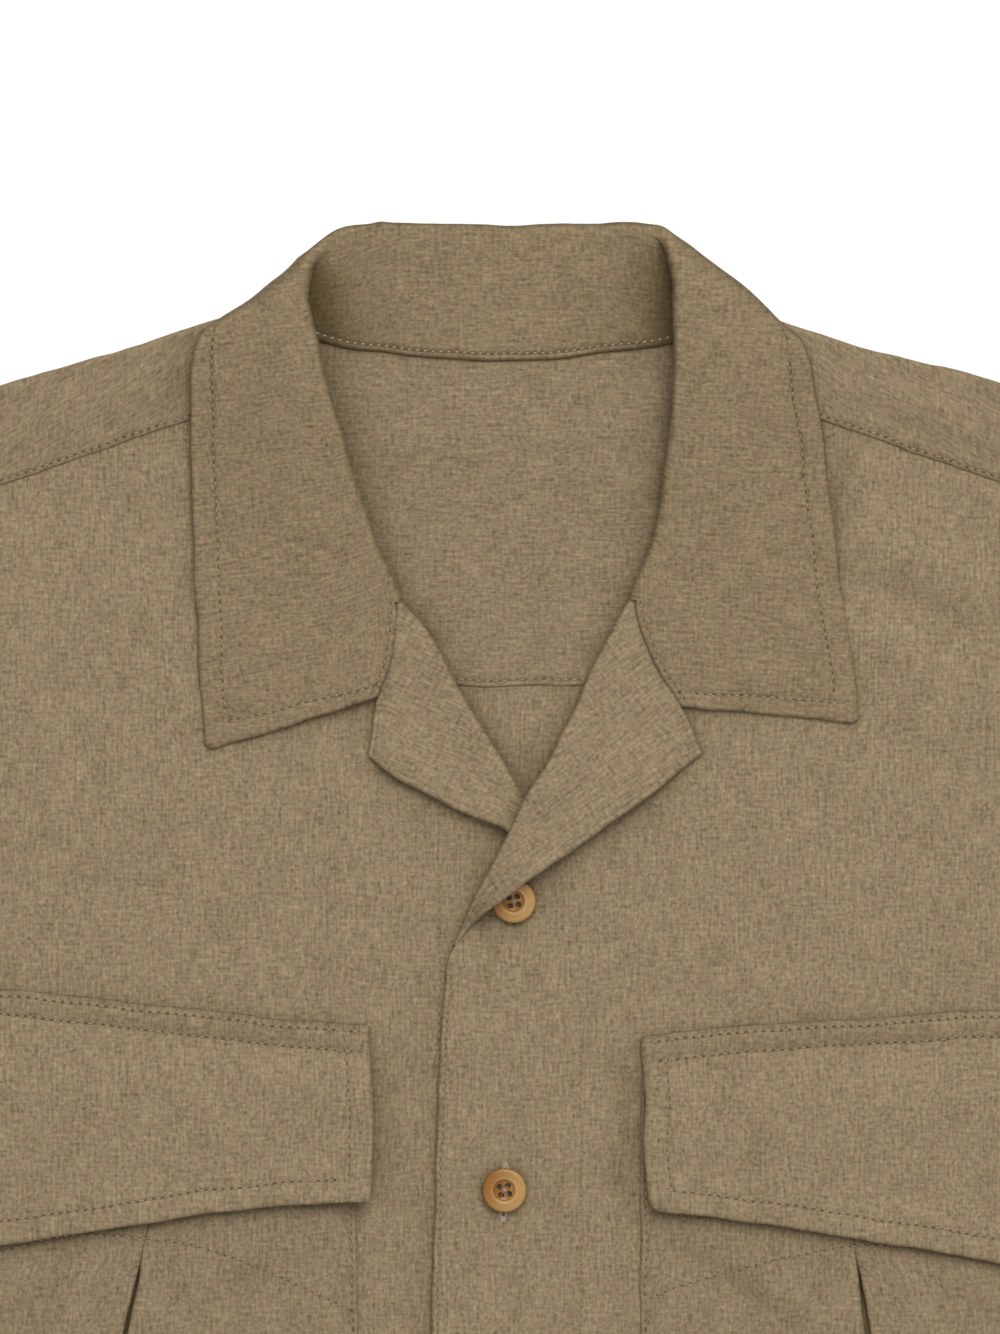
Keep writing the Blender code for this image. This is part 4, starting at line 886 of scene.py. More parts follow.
def collarSection(row, side):   # points of one section, and how far the leaf's are from its top and its edge
    seam, fold, edge = (np.array((side * row[k], row[k + 1], row[k + 2])) for k in (0, 3, 6))
    turn, leafOnly, roll = math.radians(row[9]), row[10], row[11]
    stand, bend = collarCut["standPoints"], collarCut["foldPoints"]
    if leafOnly:
        leafTop = seam
        head = np.repeat(seam[None], stand + bend, axis=0)
    else:
        outX, outY = collarCut["outward"]
        outward = np.array((side * outX, outY, 0.0))
        normal = np.array((0.0, 0.0, 1.0)) * math.cos(turn) + outward * math.sin(turn)
        toward = (fold - (seam + edge) / 2.0) * (1.0, 1.0, 0.0)
        toward = toward / np.linalg.norm(toward)
        centre = fold - toward * roll
        under = centre - normal * roll
        leafTop = centre + normal * roll
        length = np.linalg.norm(under - seam)
        part = (spread(length, gorgeEdge, plainEnd, stand - len(gorgeEdge)) / length)[:-1]
        angle = np.linspace(0.0, math.pi, bend)[:, None]
        arc = centre - normal * roll * np.cos(angle) + toward * roll * np.sin(angle)
        head = np.concatenate((seam + (under - seam) * part[:, None], arc))
    length = np.linalg.norm(edge - leafTop)
    reach = spread(length, gorgeEdge, wideEdge, collarCut["leafPoints"])
    leaf = leafTop + (edge - leafTop) * (reach / length)[:, None]
    return np.concatenate((head[: stand + bend - 1], leaf)), reach, length - reach


def openedFlat(points, spot):   # the fold evens out where the collar's corner opens
    x, y, reach, rounds = spot
    weight = 1.0 - ease(0.45 * reach, reach, np.hypot(points[..., 0] - x, points[..., 1] - y))
    weight = weight[1:-1, 1:-1, None]
    points = points.copy()
    for _ in range(rounds):
        around = points[:-2, 1:-1] + points[2:, 1:-1] + points[1:-1, :-2] + points[1:-1, 2:]
        points[1:-1, 1:-1] += weight * (around / 4.0 - points[1:-1, 1:-1])
    return points


def fuller(points, pulls):      # drawn out here and there: x, y, reach and the pull
    moved = points.copy()
    for x, y, reach, pullX, pullY in pulls:
        weight = np.exp(-((points[..., 0] - x) ** 2 + (points[..., 1] - y) ** 2) / reach**2)
        moved[..., 0] += pullX * weight
        moved[..., 1] += pullY * weight
    return moved


def roundedCorner(points, fromEnd, fromEdge, ahead, inward, radius):
    near = np.maximum(radius - np.stack(np.broadcast_arrays(fromEnd, fromEdge)), 0.0)
    moved = near * (1.0 - near.max(axis=0) / np.maximum(np.hypot(*near), 1e-6)) * (near.min(axis=0) > 0.0)
    shift = moved[0][..., None] * ahead + moved[1][..., None] * inward
    return points + np.concatenate((shift, np.zeros_like(shift[..., :1])), axis=-1)


def collarForm(steps, last, lead, made):        # the sections' points joined, opened out at one corner
    sections = np.array([points for points, _, _ in made])
    closed = sections.copy()
    for row, near in ((0, 2), (1, 2), (-1, -3), (-2, -3)):     # the fold runs on straight past the gorge
        closed[row, :lead] = sections[near, :lead] + sections[row, lead] - sections[near, lead]
    points = openedFlat(through(closed, steps / last), collarCut["openCorner"])
    points = fuller(points, collarCut["fuller"])
    points[..., 2] = np.maximum(points[..., 2], collarCut["fallLevel"])
    return points


def makeCollar():
    rows = [(row, -1.0) for row in collarCut["right"]] + [(collarCut["back"], 1.0)]
    rows += [(row, 1.0) for row in reversed(collarCut["left"])]
    made = [collarSection(row, side) for row, side in rows]
    lead = collarCut["standPoints"] + collarCut["foldPoints"] - 1
    last = len(rows) - 1
    gap = collarCut["frontGap"]
    nearEnd = np.array(wideEdge) / gap
    steps = np.linspace(0.0, last, last * collarCut["stepsEach"] + 1)
    steps = steps[(steps > nearEnd[-1]) & (steps < last - nearEnd[-1])]
    steps = np.concatenate((nearEnd, steps, last - nearEnd[::-1]))
    points = collarForm(steps, last, lead, made)
    start, finish = (through(np.array([section[k] for section in made]), steps / last) for k in (1, 2))
    fromEnd = np.minimum(steps, last - steps)
    fromFront = fromEnd * gap
    pointRows = collarCut["pointRows"]
    for end, row in ((slice(0, pointRows), 0), (slice(-pointRows, None), -1)):      # each leaf's turned point
        ahead = unit(points[end, -1, :2][0 if row else -1] - points[row, -1, :2])
        inward = unit(points[row, -1 - wideRow, :2] - points[row, -1, :2])
        points[end, lead:] = roundedCorner(
            points[end, lead:], fromFront[end, None], finish[end], ahead, inward, collarCut["point"])
    onTop = ease(*collarCut["onTop"], fromEnd)[:, None]
    inGorge = ease(*collarCut["inGorge"], fromEnd)[:, None]
    gorgeStitch, standStitch = collarCut["gorgeStitch"], collarCut["standStitch"]
    relief = turnedEdge(finish, wideStitch) + turnedEdge(fromFront, wideStitch)[:, None]
    points[:, lead:, 2] += (relief + turnedEdge(start, gorgeStitch) * inGorge) * onTop
    leftBow, rightBow = collarCut["leafBow"]
    bow = np.where(steps < last / 2.0, rightBow, leftBow) * ease(*collarCut["bowFrom"], fromFront / gap)
    points[:, lead:, 2] += (bow[:, None] * np.sin(2.0 * np.pi * start / (start + finish))) * onTop
    sag = collarCut["sag"] * np.exp(-((fromFront / collarCut["sagReach"]) ** 2)) * (steps > last / 2.0)
    points[:, lead:, 2] -= sag[:, None] * np.sin(np.pi * start / (start + finish))
    fromSeam = np.cumsum(np.linalg.norm(np.diff(points, axis=1, prepend=points[:, :1]), axis=2), axis=1)
    points[:, :lead, 2] += turnedEdge(fromSeam[:, :lead], standStitch) * (1.0 - onTop)
    rightTilt, leftTilt = collarCut["tilt"]
    tilt = np.where(points[..., 0] < 0.0, rightTilt, leftTilt)
    tilt = np.radians(tilt * ease(*collarCut["tiltFrom"], np.abs(points[..., 0])))
    grain = stacked(points[..., 1] * np.cos(tilt) - points[..., 0] * np.sin(tilt),
                    points[..., 0] * np.cos(tilt) + points[..., 1] * np.sin(tilt))
    front = (steps[:-1] < 2.0 - 1e-6) | (steps[1:] > last - 2.0 + 1e-6)
    stand = np.arange(points.shape[1] - 1) < lead
    loose = np.zeros(points.shape[:2])
    pulled = collarCut["frontPull"] * seamPull(fromFront, wideStitch)[:, None]
    loose[:, lead:] = np.maximum(seamPull(finish, wideStitch), pulled) * onTop
    loose[:, lead:] += seamPull(start, gorgeStitch) * inGorge
    loose[:, :lead] = seamPull(fromSeam[:, :lead], standStitch) * (1.0 - onTop)
    kept = ~(front[:, None] & stand[None, :])
    piece = clothPiece("collarPiece", points, grain, cloth["double"], kept, loose=loose, finish=shadedCrossWool)
    rightTo, leftTo = collarCut["stitchTo"]
    for half in (np.flatnonzero(steps < rightTo), np.flatnonzero(last - steps < leftTo)[::-1]):
        sew(piece, points[half[wideRow:], -1 - wideRow])
        sew(piece, points[half[wideRow], lead + 2:-wideRow])
        gorgeRows = half[fromFront[half] < 2.0 * gap]
        sew(piece, points[gorgeRows[2:], lead + gorgeEdge.index(gorgeStitch)], "slight")
    seamLine = points[:, gorgeEdge.index(1.9), :2]
    low, high = collarCut["seamShown"]
    seen = (seamLine[:, 0] > low) & (seamLine[:, 0] < high) & (fromEnd > collarCut["seamFrom"])
    sew(piece, seamLine[seen], "pale")
    dressed(piece, "collar")


# Pockets and flaps: x grows away from the centre front on either side
leftPocket = {
    "inner": 46.4, "slit": (119.2, 123.7),
    "arch": ((51.0, -336.5), (59.7, -333.5), (83.6, -326.3), (100.7, -322.2), (124.6, -318.8),
             (150.0, -317.6), (172.0, -321.0), (194.0, -332.0)),
    "gape": ((-432.0, 0.5), (-372.0, 1.3), (-350.0, 1.25), (-340.0, 1.15), (-331.6, 0.68), (-323.5, 0.18),
             (-320.0, 0.03)),           # half the slit's width at each height
}
rightPocket = {
    "inner": 50.5, "slit": (123.1, 129.5),
    "arch": ((51.0, -342.0), (83.0, -327.6), (104.0, -319.8), (125.0, -316.6), (147.0, -315.7),
             (168.0, -320.0), (185.0, -327.0), (199.0, -335.5)),
    "gape": ((-432.0, 0.4), (-372.0, 1.05), (-350.0, 1.0), (-332.0, 0.8), (-328.5, 0.58), (-325.0, 0.2),
             (-321.0, 0.04)),
}
pocketCut = {
    "width": 152.0, "mouth": -268.0, "bottom": -432.0,
    "slitTop": -318.0, "slitRun": 32.0, "slitBend": (-345.0, -432.0), "slitStraight": 0.35,
    "depth": 14.0, "step": 1.5, "pleatTo": (17.0, 40.0),
    "lie": 0.78, "loose": 0.5, "looseFrom": (0.6, 8.0),
    "rows": 78, "columns": 26, "foldPoints": 6, "underFlap": 8, "flat": (0.21, 0.165), "area": 0.0342,
}


def pleatRise(distance):
    return 2.0 * pocketCut["step"] * (1.0 - ease(*pocketCut["pleatTo"], np.abs(distance)))


def slitPlace(pocket, y):
    low, high = pocket["slit"]
    bend = 1.0 - pocketCut["slitStraight"] * ease(*pocketCut["slitBend"], y)
    return low + (high - low) * (pocketCut["slitTop"] - y) / pocketCut["slitRun"] * bend


def pocketLie(distance):        # sewn down at its edges, loose within
    return pocketCut["lie"] + pocketCut["loose"] * ease(*pocketCut["looseFrom"], distance)


def halfTurn(x, z, radius, way, down):      # points round one fold of the pleat
    angle = np.linspace(math.pi / 2.0, -math.pi / 2.0, pocketCut["foldPoints"])
    angle = angle if down else -angle
    return stacked(x + way * radius * np.cos(angle), z + radius * np.sin(angle))


def makePocket(name, node, pocket, side, height):
    inner, outer = pocket["inner"], pocket["inner"] + pocketCut["width"]
    step, depth, turn = pocketCut["step"], pocketCut["depth"], pocketCut["step"] / 2.0
    gape = np.array(pocket["gape"])
    points, grain = [], []
    drop = pocketCut["mouth"] - pocketCut["bottom"]
    for down in spread(drop, plainEnd, closeEdge, pocketCut["rows"]):
        y = pocketCut["mouth"] - down
        slit = slitPlace(pocket, y)
        wide = np.interp(y, gape[:, 0], gape[:, 1])
        leftRun = slit - wide - turn - inner
        rightRun = outer - slit - wide - turn
        near = spread(leftRun, closeEdge, plainEnd, pocketCut["columns"])
        far = spread(rightRun, plainEnd, closeEdge, pocketCut["columns"])
        fromOuter = rightRun - far
        base = pocketLie(drop - down)
        edgeLeft = np.minimum(pocketLie(near), base) + pleatRise(near + inner - slit)
        edgeRight = np.minimum(pocketLie(fromOuter), base) + pleatRise(wide + turn + far)
        path = np.concatenate((
            stacked(inner + near, edgeLeft + turnedEdge(near, closeStitch)),
            halfTurn(slit - wide - turn, base + 1.5 * step, turn, 1.0, True)[1:],
            halfTurn(slit - depth + turn, base + 0.5 * step, turn, -1.0, True),
            halfTurn(slit + depth - turn, base + 0.5 * step, turn, 1.0, False),
            halfTurn(slit + wide + turn, base + 1.5 * step, turn, -1.0, False)[:-1],
            stacked(slit + wide + turn + far, edgeRight + turnedEdge(fromOuter, closeStitch))))
        x = side * path[:, 0]
        points.append(stacked(x, y, height(x, y) + path[:, 1] + turnedEdge(drop - down, closeStitch)))
        grain.append(stacked(runAlong(path), y))
    points = np.array(points)
    loose = np.zeros(points.shape[:2])
    loose[:, :len(closeEdge)] = seamPull(np.array(closeEdge), closeStitch)
    loose[:, -len(closeEdge):] = seamPull(np.array(closeEdge)[::-1], closeStitch)
    piece = clothPiece(name, points, np.array(grain), cloth["single"], loose=loose, finish=shadedPocketWool)
    for column in (closeRow, -1 - closeRow):
        sew(piece, points[pocketCut["underFlap"]:-closeRow, column], "slight")
    sew(piece, points[-1 - closeRow, closeRow:-closeRow], "slight")
    sew(piece, through(pocket["arch"], np.linspace(0.0, 1.0, 120)) * (side, 1.0), "slight")
    dressed(piece, node)


# Each flap's top and bottom by share of its width from the inner edge, and its inner edge from top to bottom
leftFlap = {
    "across": ((0.0, -248.1, -307.2), (0.3, -244.0, -312.8), (0.62, -241.0, -320.9), (1.0, -237.0, -330.8)),
    "inner": (47.4, 48.3, 47.8, 49.8), "corner": 4.5, "curl": 1.5,
}
rightFlap = {
    "across": ((0.0, -245.1, -303.4), (0.36, -239.5, -308.2), (0.78, -232.4, -318.4), (1.0, -229.5, -324.0)),
    "inner": (47.4, 46.0, 45.6, 46.2), "corner": 1.0, "curl": 2.1,
}
flapCut = {
    "width": 160.0, "rows": 16, "columns": 62, "cornerShare": 0.9,
    "sewnLie": 1.12, "overPocket": 2.0, "rise": (0.1, 0.4),
    "curlAcross": (0.0, 22.0), "curlDown": (2.0, 18.0), "curlEdge": (0.0, 16.0), "curlEdgeShare": 0.8,
    "topSwell": 1.3, "swellFrom": (0.5, 1.5), "swellTo": (1.5, 9.0), "groove": 0.34, "grooveReach": 1.3,
    "upperRow": 1.5, "lowerRow": 8.2, "sidePull": 0.8, "grainShift": (31.0, 17.0),
    "flat": (0.168, 0.095), "area": 0.0120,
}
flapTop = (0.0, 0.3, 0.65, 1.05, flapCut["upperRow"], 1.9, 2.3, 3.0, 4.2, 5.6, 6.8, 7.5, 7.9,
           flapCut["lowerRow"], 8.6, 9.4, 10.6, 12.5)


def makeFlap(name, node, flap, pocket, side, height):
    table = np.array(flap["across"])
    share = spread(flapCut["width"], wideEdge, wideEdge, flapCut["columns"]) / flapCut["width"]
    span = np.interp(share, table[:, 0], np.linspace(0.0, 1.0, len(table)))
    top, bottom = through(table[:, 1:], span).T
    down = np.stack([spread(t - b, flapTop, wideEdge, flapCut["rows"]) for t, b in zip(top, bottom)])
    drop = (top - bottom)[:, None]
    left = drop - down
    innerX = through(np.array(flap["inner"])[:, None], (down / drop).ravel()).reshape(down.shape)
    radius = flap["corner"]
    inset = np.clip(radius - left, 0.0, radius)
    rounded = radius - np.sqrt(np.maximum(radius**2 - inset**2, 0.0))
    innerX = innerX + rounded * flapCut["cornerShare"]
    outerX = flap["inner"][0] + flapCut["width"]
    x = innerX + (outerX - innerX) * share[:, None]
    y = top[:, None] - down
    fromInner, fromOuter = x - innerX, outerX - x
    ground = height(side * x, y)
    sewn = ground + flapCut["sewnLie"]
    pocketTop = ground + (pocketCut["lie"] + pocketCut["loose"]) + pleatRise(x - slitPlace(pocket, y))
    over = pocketTop + flapCut["overPocket"]
    z = sewn + (over - sewn) * ease(*flapCut["rise"], down / drop)
    curl = (1.0 - ease(*flapCut["curlAcross"], fromInner)) * ease(*flapCut["curlDown"], down)
    curl = curl + flapCut["curlEdgeShare"] * (1.0 - ease(*flapCut["curlEdge"], left))
    z = z + flap["curl"] * curl
    upperRow, lowerRow = flapCut["upperRow"], flapCut["lowerRow"]
    swell = flapCut["topSwell"] * ease(*flapCut["swellFrom"], down) * (1.0 - ease(*flapCut["swellTo"], down))
    groove = flapCut["groove"] * bump(down, lowerRow, flapCut["grooveReach"])
    z = z + (turnedEdge(down, upperRow) + swell) - groove
    for distance in (left, fromInner, fromOuter):
        z = z + turnedEdge(distance, wideStitch)
    points = stacked(side * x, y, z).transpose(1, 0, 2)
    loose = np.maximum(seamPull(down, upperRow), seamPull(down, lowerRow))
    for distance in (left, fromInner, fromOuter):
        loose = np.maximum(loose, flapCut["sidePull"] * seamPull(distance, wideStitch))
    piece = clothPiece(name, points, points[..., :2] + flapCut["grainShift"], cloth["double"], loose=loose.T)
    for row in (upperRow, lowerRow):
        sew(piece, points[flapTop.index(row), 3:-3])
    for column in (wideRow, -1 - wideRow):
        sew(piece, points[flapTop.index(lowerRow):-wideRow, column], "slight")
    sew(piece, points[-1 - wideRow, wideRow:-wideRow])
    dressed(piece, node)


# Sleeves and cuffs
sleeveCut = {
    "turn": 48.0, "head": (75.0, 100.0), "run": 382.0, "end": 128.0, "armGap": 0.6,
    "foldInset": 1.6, "foldReach": 1.0, "tuckWay": (1.0, 0.25), "grainRun": 560.0,
    "rows": 110, "across": 64, "fold": 8, "flat": (0.50, 0.47), "area": 0.1462,
}
cuffCut = {
    "length": 62.0, "width": 122.0, "lap": (24.0, 46.0), "roll": 1.3, "lapGap": 0.5, "buttonGap": 0.3,
    "overlap": 1.0, "inset": 1.0,
    "underPoints": 30, "underShown": 12, "overPoints": 12, "backPoints": 40, "foldPoints": 9, "rows": 20,
    "flat": (0.27, 0.064), "area": 0.0162,
}
sleeveAxis = np.array((math.cos(math.radians(sleeveCut["turn"])), -math.sin(math.radians(sleeveCut["turn"]))))
sleeveDown = np.array((sleeveAxis[1], -sleeveAxis[0]))


def sleeveTop(place):
    start = np.array(body["shoulderPoint"])
    slope = math.atan(body["shoulderSlope"])
    knee = start + np.array((math.cos(slope), -math.sin(slope))) * sleeveCut["head"][0]
    head = knee + sleeveAxis * sleeveCut["head"][1]
    share = sum(sleeveCut["head"]) / (sum(sleeveCut["head"]) + sleeveCut["run"])
    if place <= share:
        t = place / share
        return start * (1.0 - t) ** 2 + knee * 2.0 * t * (1.0 - t) + head * t * t
    return head + sleeveAxis * sleeveCut["run"] * (place - share) / (1.0 - share)


def sleevePlan(place, across):  # place from armhole to cuff, across from upper fold to underarm
    underarm, shoulder = np.array(body["underarm"]), np.array(body["shoulderPoint"])
    topEnd = sleeveTop(1.0)
    lowEnd = topEnd + sleeveDown * sleeveCut["end"]
    across = np.asarray(across, float)
    ahead = outerEdge(np.minimum(1.0, across + 0.01)) - outerEdge(np.maximum(0.0, across - 0.01))
    ahead = ahead / np.linalg.norm(ahead, axis=-1, keepdims=True)
    start = outerEdge(across) + stacked(-ahead[..., 1], ahead[..., 0]) * sleeveCut["armGap"]
    low = underarm + (lowEnd - underarm) * place
    across = across[..., None]
    end = topEnd + (lowEnd - topEnd) * across
    rule = sleeveTop(place) * (1.0 - across) + low * across
    span = start * (1.0 - place) + end * place
    first = shoulder * (1.0 - across) + underarm * across
    return rule + span - first * (1.0 - place) - end * place


def makeSleeve(name, node, side):
    steps = np.linspace(0.0, 1.0, sleeveCut["across"])
    turns = np.linspace(math.pi / 2.0, -math.pi / 2.0, sleeveCut["fold"] + 1)[1:-1]
    rows = [(0.0, cloth["tuck"]), (0.0, cloth["tuck"] / 2.0)]      # seam allowance under the front
    rows += [(place, 0.0) for place in np.linspace(0.0, 1.0, sleeveCut["rows"])]
    points, grain = [], []
    for place, tuck in rows:
        width = np.hypot(*(sleevePlan(place, 1.0) - sleevePlan(place, 0.0)))
        inset = sleeveCut["foldInset"] / width
        plan = sleevePlan(place, np.clip(steps, inset, 1.0 - inset))
        upper = plan - sleeveAxis * tuck * np.array(sleeveCut["tuckWay"])
        x, y = side * upper[:, 0], upper[:, 1]
        top = stacked(x, y, frontHeight(x, y) - cloth["tuckDrop"] * (tuck > 0.0))
        bottom = stacked(side * plan[:, 0], plan[:, 1], body["backLevel"])
        folds = []
        for edge, spot in ((1.0, -1), (0.0, 0)):
            away = unit(sleevePlan(place, edge) - plan[spot]) * (side, 1.0) * sleeveCut["foldReach"]
            high, low = top[spot, 2], bottom[spot, 2]
            turn = turns if edge else -turns
            shift = (top[spot, :2] - bottom[spot, :2]) * 0.5
            flat = bottom[spot, :2] + np.outer(np.cos(turn), away) + shift * (1.0 + np.sin(turn))[:, None]
            folds.append(np.column_stack((flat, (high + low) / 2.0 + (high - low) / 2.0 * np.sin(turn))))
        ring = np.concatenate((top, folds[0], bottom[::-1], folds[1]))
        points.append(ring)
        grain.append(stacked(runAlong(ring[:, :2]), -place * sleeveCut["grainRun"]))
    piece = clothPiece(name, np.array(points), np.array(grain), cloth["single"], loop=True)
    dressed(piece, node)


def cuffPath():                 # round the cuff, from the lap's under end to its over end
    low, inset = cloth["double"] / 2.0, cuffCut["inset"]
    roll, (lapFrom, lapTo) = cuffCut["roll"], cuffCut["lap"]
    under = low + 2.0 * roll
    over = under + cloth["double"] + cuffCut["lapGap"]
    nearRoll = (over - low) / 2.0
    near, far = inset + nearRoll, cuffCut["width"] - inset - roll
    turn = np.linspace(math.pi / 2.0, -math.pi / 2.0, cuffCut["foldPoints"])
    farTurn = stacked(far + roll * np.cos(turn), low + roll + roll * np.sin(turn))
    nearTurn = stacked(near - nearRoll * np.cos(turn), low + nearRoll - nearRoll * np.sin(turn))
    underRun = lapFrom + spread(far - lapFrom, closeEdge, plainEnd, cuffCut["underPoints"])
    overRun = near + spread(lapTo - inset - nearRoll, plainEnd, closeEdge, cuffCut["overPoints"])
    backRun = np.linspace(far, near, cuffCut["backPoints"])
    return np.concatenate((
        stacked(underRun, under), farTurn[1:], stacked(backRun, low)[1:], nearTurn[1:],
        stacked(overRun, over + turnedEdge(lapTo - overRun, closeStitch))[1:]))


def cuffStart():
    inward = sleeveDown * (sleeveCut["end"] - cuffCut["width"]) / 2.0
    return sleeveTop(1.0) + inward - sleeveAxis * cuffCut["overlap"]


def makeCuff(name, node, side):
    path = cuffPath()
    length = cuffCut["length"] + cuffCut["overlap"]
    points, grain = [], []
    for along in spread(length, closeEdge, closeEdge, cuffCut["rows"]):
        edge = turnedEdge(min(along, length - along), closeStitch)
        spot = cuffStart() + np.outer(path[:, 0], sleeveDown) + sleeveAxis * along
        outward = np.where(path[:, 1] > cloth["double"], edge, 0.0)
        points.append(stacked(side * spot[:, 0], spot[:, 1], path[:, 1] + outward))
        grain.append(stacked(runAlong(path), along))
    points = np.array(points)
    piece = clothPiece(name, points, np.array(grain), cloth["double"])
    ends = len(closeEdge)
    firstOver = len(path) - cuffCut["overPoints"] - ends
    firstUnder, lastUnder = ends + cuffCut["underShown"], ends + cuffCut["underPoints"]
    for row in (closeRow, -1 - closeRow):
        sew(piece, points[row, firstOver:-closeRow], "slight")
        sew(piece, points[row, firstUnder:lastUnder], "slight")
    sew(piece, points[closeRow:-closeRow, -1 - closeRow], "slight")
    dressed(piece, node)


makeBack()
makeYoke()
makeFront("frontLeft", "front_left", leftFront, 1.0, leftFrontHeight)
makeFront("frontRight", "front_right", rightFront, -1.0, rightFrontHeight)
makeLapel("lapelLeft", "facing_left", leftLapel, 1.0, leftFrontHeight)
makeLapel("lapelRight", "facing_right", rightLapel, -1.0, frontHeight)
makeCollar()
makePocket("pocketLeft", "pocket_left", leftPocket, 1.0, leftFrontHeight)
makePocket("pocketRight", "pocket_right", rightPocket, -1.0, frontHeight)
makeFlap("flapLeft", "flap_left", leftFlap, leftPocket, 1.0, leftFrontHeight)
makeFlap("flapRight", "flap_right", rightFlap, rightPocket, -1.0, frontHeight)
makeSleeve("sleeveLeft", "sleeve_left", 1.0)
makeSleeve("sleeveRight", "sleeve_right", -1.0)
makeCuff("cuffLeft", "cuff_left", 1.0)
makeCuff("cuffRight", "cuff_right", -1.0)


# Studio
studio = {
    "frameHeight": 455.3, "frameCentre": (-1.7, -121.8), "distance": 2600.0, "level": 5.0,
    "floor": (0.96, 0.96, 0.96, 1.0), "floorHalf": 6.0, "floorDrop": 0.2, "world": 0.64,
    "aim": (0.0, 0.2, 0.0),
    "key": {"place": (0.6, 2.1, 2.7), "size": 2.4, "watts": 101.0},
    "fill": {"place": (-0.5, -1.2, 2.6), "size": 2.4, "watts": 12.0},
}


def makeCamera():
    data = bpy.data.cameras.new("camera")
    data.sensor_width = 36.0
    data.lens = data.sensor_width * studio["distance"] / studio["frameHeight"]
    data.clip_end = 50.0
    camera = placed("camera", data)
    x, y = studio["frameCentre"]
    camera.location = (x * mm, (y - centreY) * mm, (studio["distance"] + studio["level"]) * mm)
    bpy.context.scene.camera = camera


def makeLight(name, light):
    data = bpy.data.lights.new(name, "AREA")
    data.size = light["size"]
    data.energy = light["watts"]
    lamp = placed(name, data)
    lamp.location = light["place"]
    aim = Vector(studio["aim"]) - lamp.location
    lamp.rotation_euler = aim.to_track_quat("-Z", "Y").to_euler()


def makeStudio():
    shape = bmesh.new()
    bmesh.ops.create_grid(shape, x_segments=1, y_segments=1, size=studio["floorHalf"])
    finish, shader, _ = newMaterial("floorPaper", 0.95, Specular_IOR_Level=0.0)
    shader.inputs["Base Color"].default_value = studio["floor"]
    floor = meshPiece("floor", meshFrom(shape, "floor"), finish)
    floor.data.transform(Matrix.Translation((0.0, 0.0, -studio["floorDrop"] * mm)))
    world = bpy.data.worlds.new("studio")
    world.use_nodes = True
    background = world.node_tree.nodes["Background"]
    background.inputs["Color"].default_value = (1.0, 1.0, 1.0, 1.0)
    background.inputs["Strength"].default_value = studio["world"]
    bpy.context.scene.world = world
    bpy.context.scene.view_settings.view_transform = "Standard"
    makeLight("keyLight", studio["key"])
    makeLight("fillLight", studio["fill"])


# Sewing: one tree lays thread, and dark discs painted as the shade of needle holes, along lines that lie on
# the cloth
thread = {"over": 0.07, "seed": 7, "askew": 0.09, "uneven": (0.86, 1.1), "flat": 0.8, "holeFlat": 0.9,
          "pitch": 1.2, "castFrom": 40.0}
stitchStyles = {                # pitch, length, radius, needle hole (size of its painted dark disc), turn and finish
    "firm": (2.95, 1.8, 0.34, 0.58, 0.0, threadFinish),
    "slight": (2.95, 1.8, 0.28, 0.38, 0.0, threadFinish),
    "faint": (2.95, 1.9, 0.2, 0.27, 0.0, threadFinish),
    "pale": (2.65, 1.6, 0.4, 0.56, 0.4, paleThreadFinish),
    "bar": (0.5, 1.1, 0.34, 0.0, 1.571, holeThreadFinish),
    "tack": (0.4, 2.3, 0.36, 0.0, 1.571, holeThreadFinish),
}


def laidOut(wire, shape, points, facing, size, finish):     # one shape at every point
    sockets = {"Points": points, "Instance": shape, "Rotation": facing, "Scale": size}
    items = wire.add("GeometryNodeInstanceOnPoints", {}, sockets)
    items = wire.add("GeometryNodeRealizeInstances", {}, {0: items})
    return wire.add("GeometryNodeSetMaterial", {}, {"Geometry": items, "Material": finish})


def chance(wire, low, high, seed):
    return wire.add("FunctionNodeRandomValue", {"data_type": "FLOAT"}, {2: low, 3: high, 8: seed}, out=1)


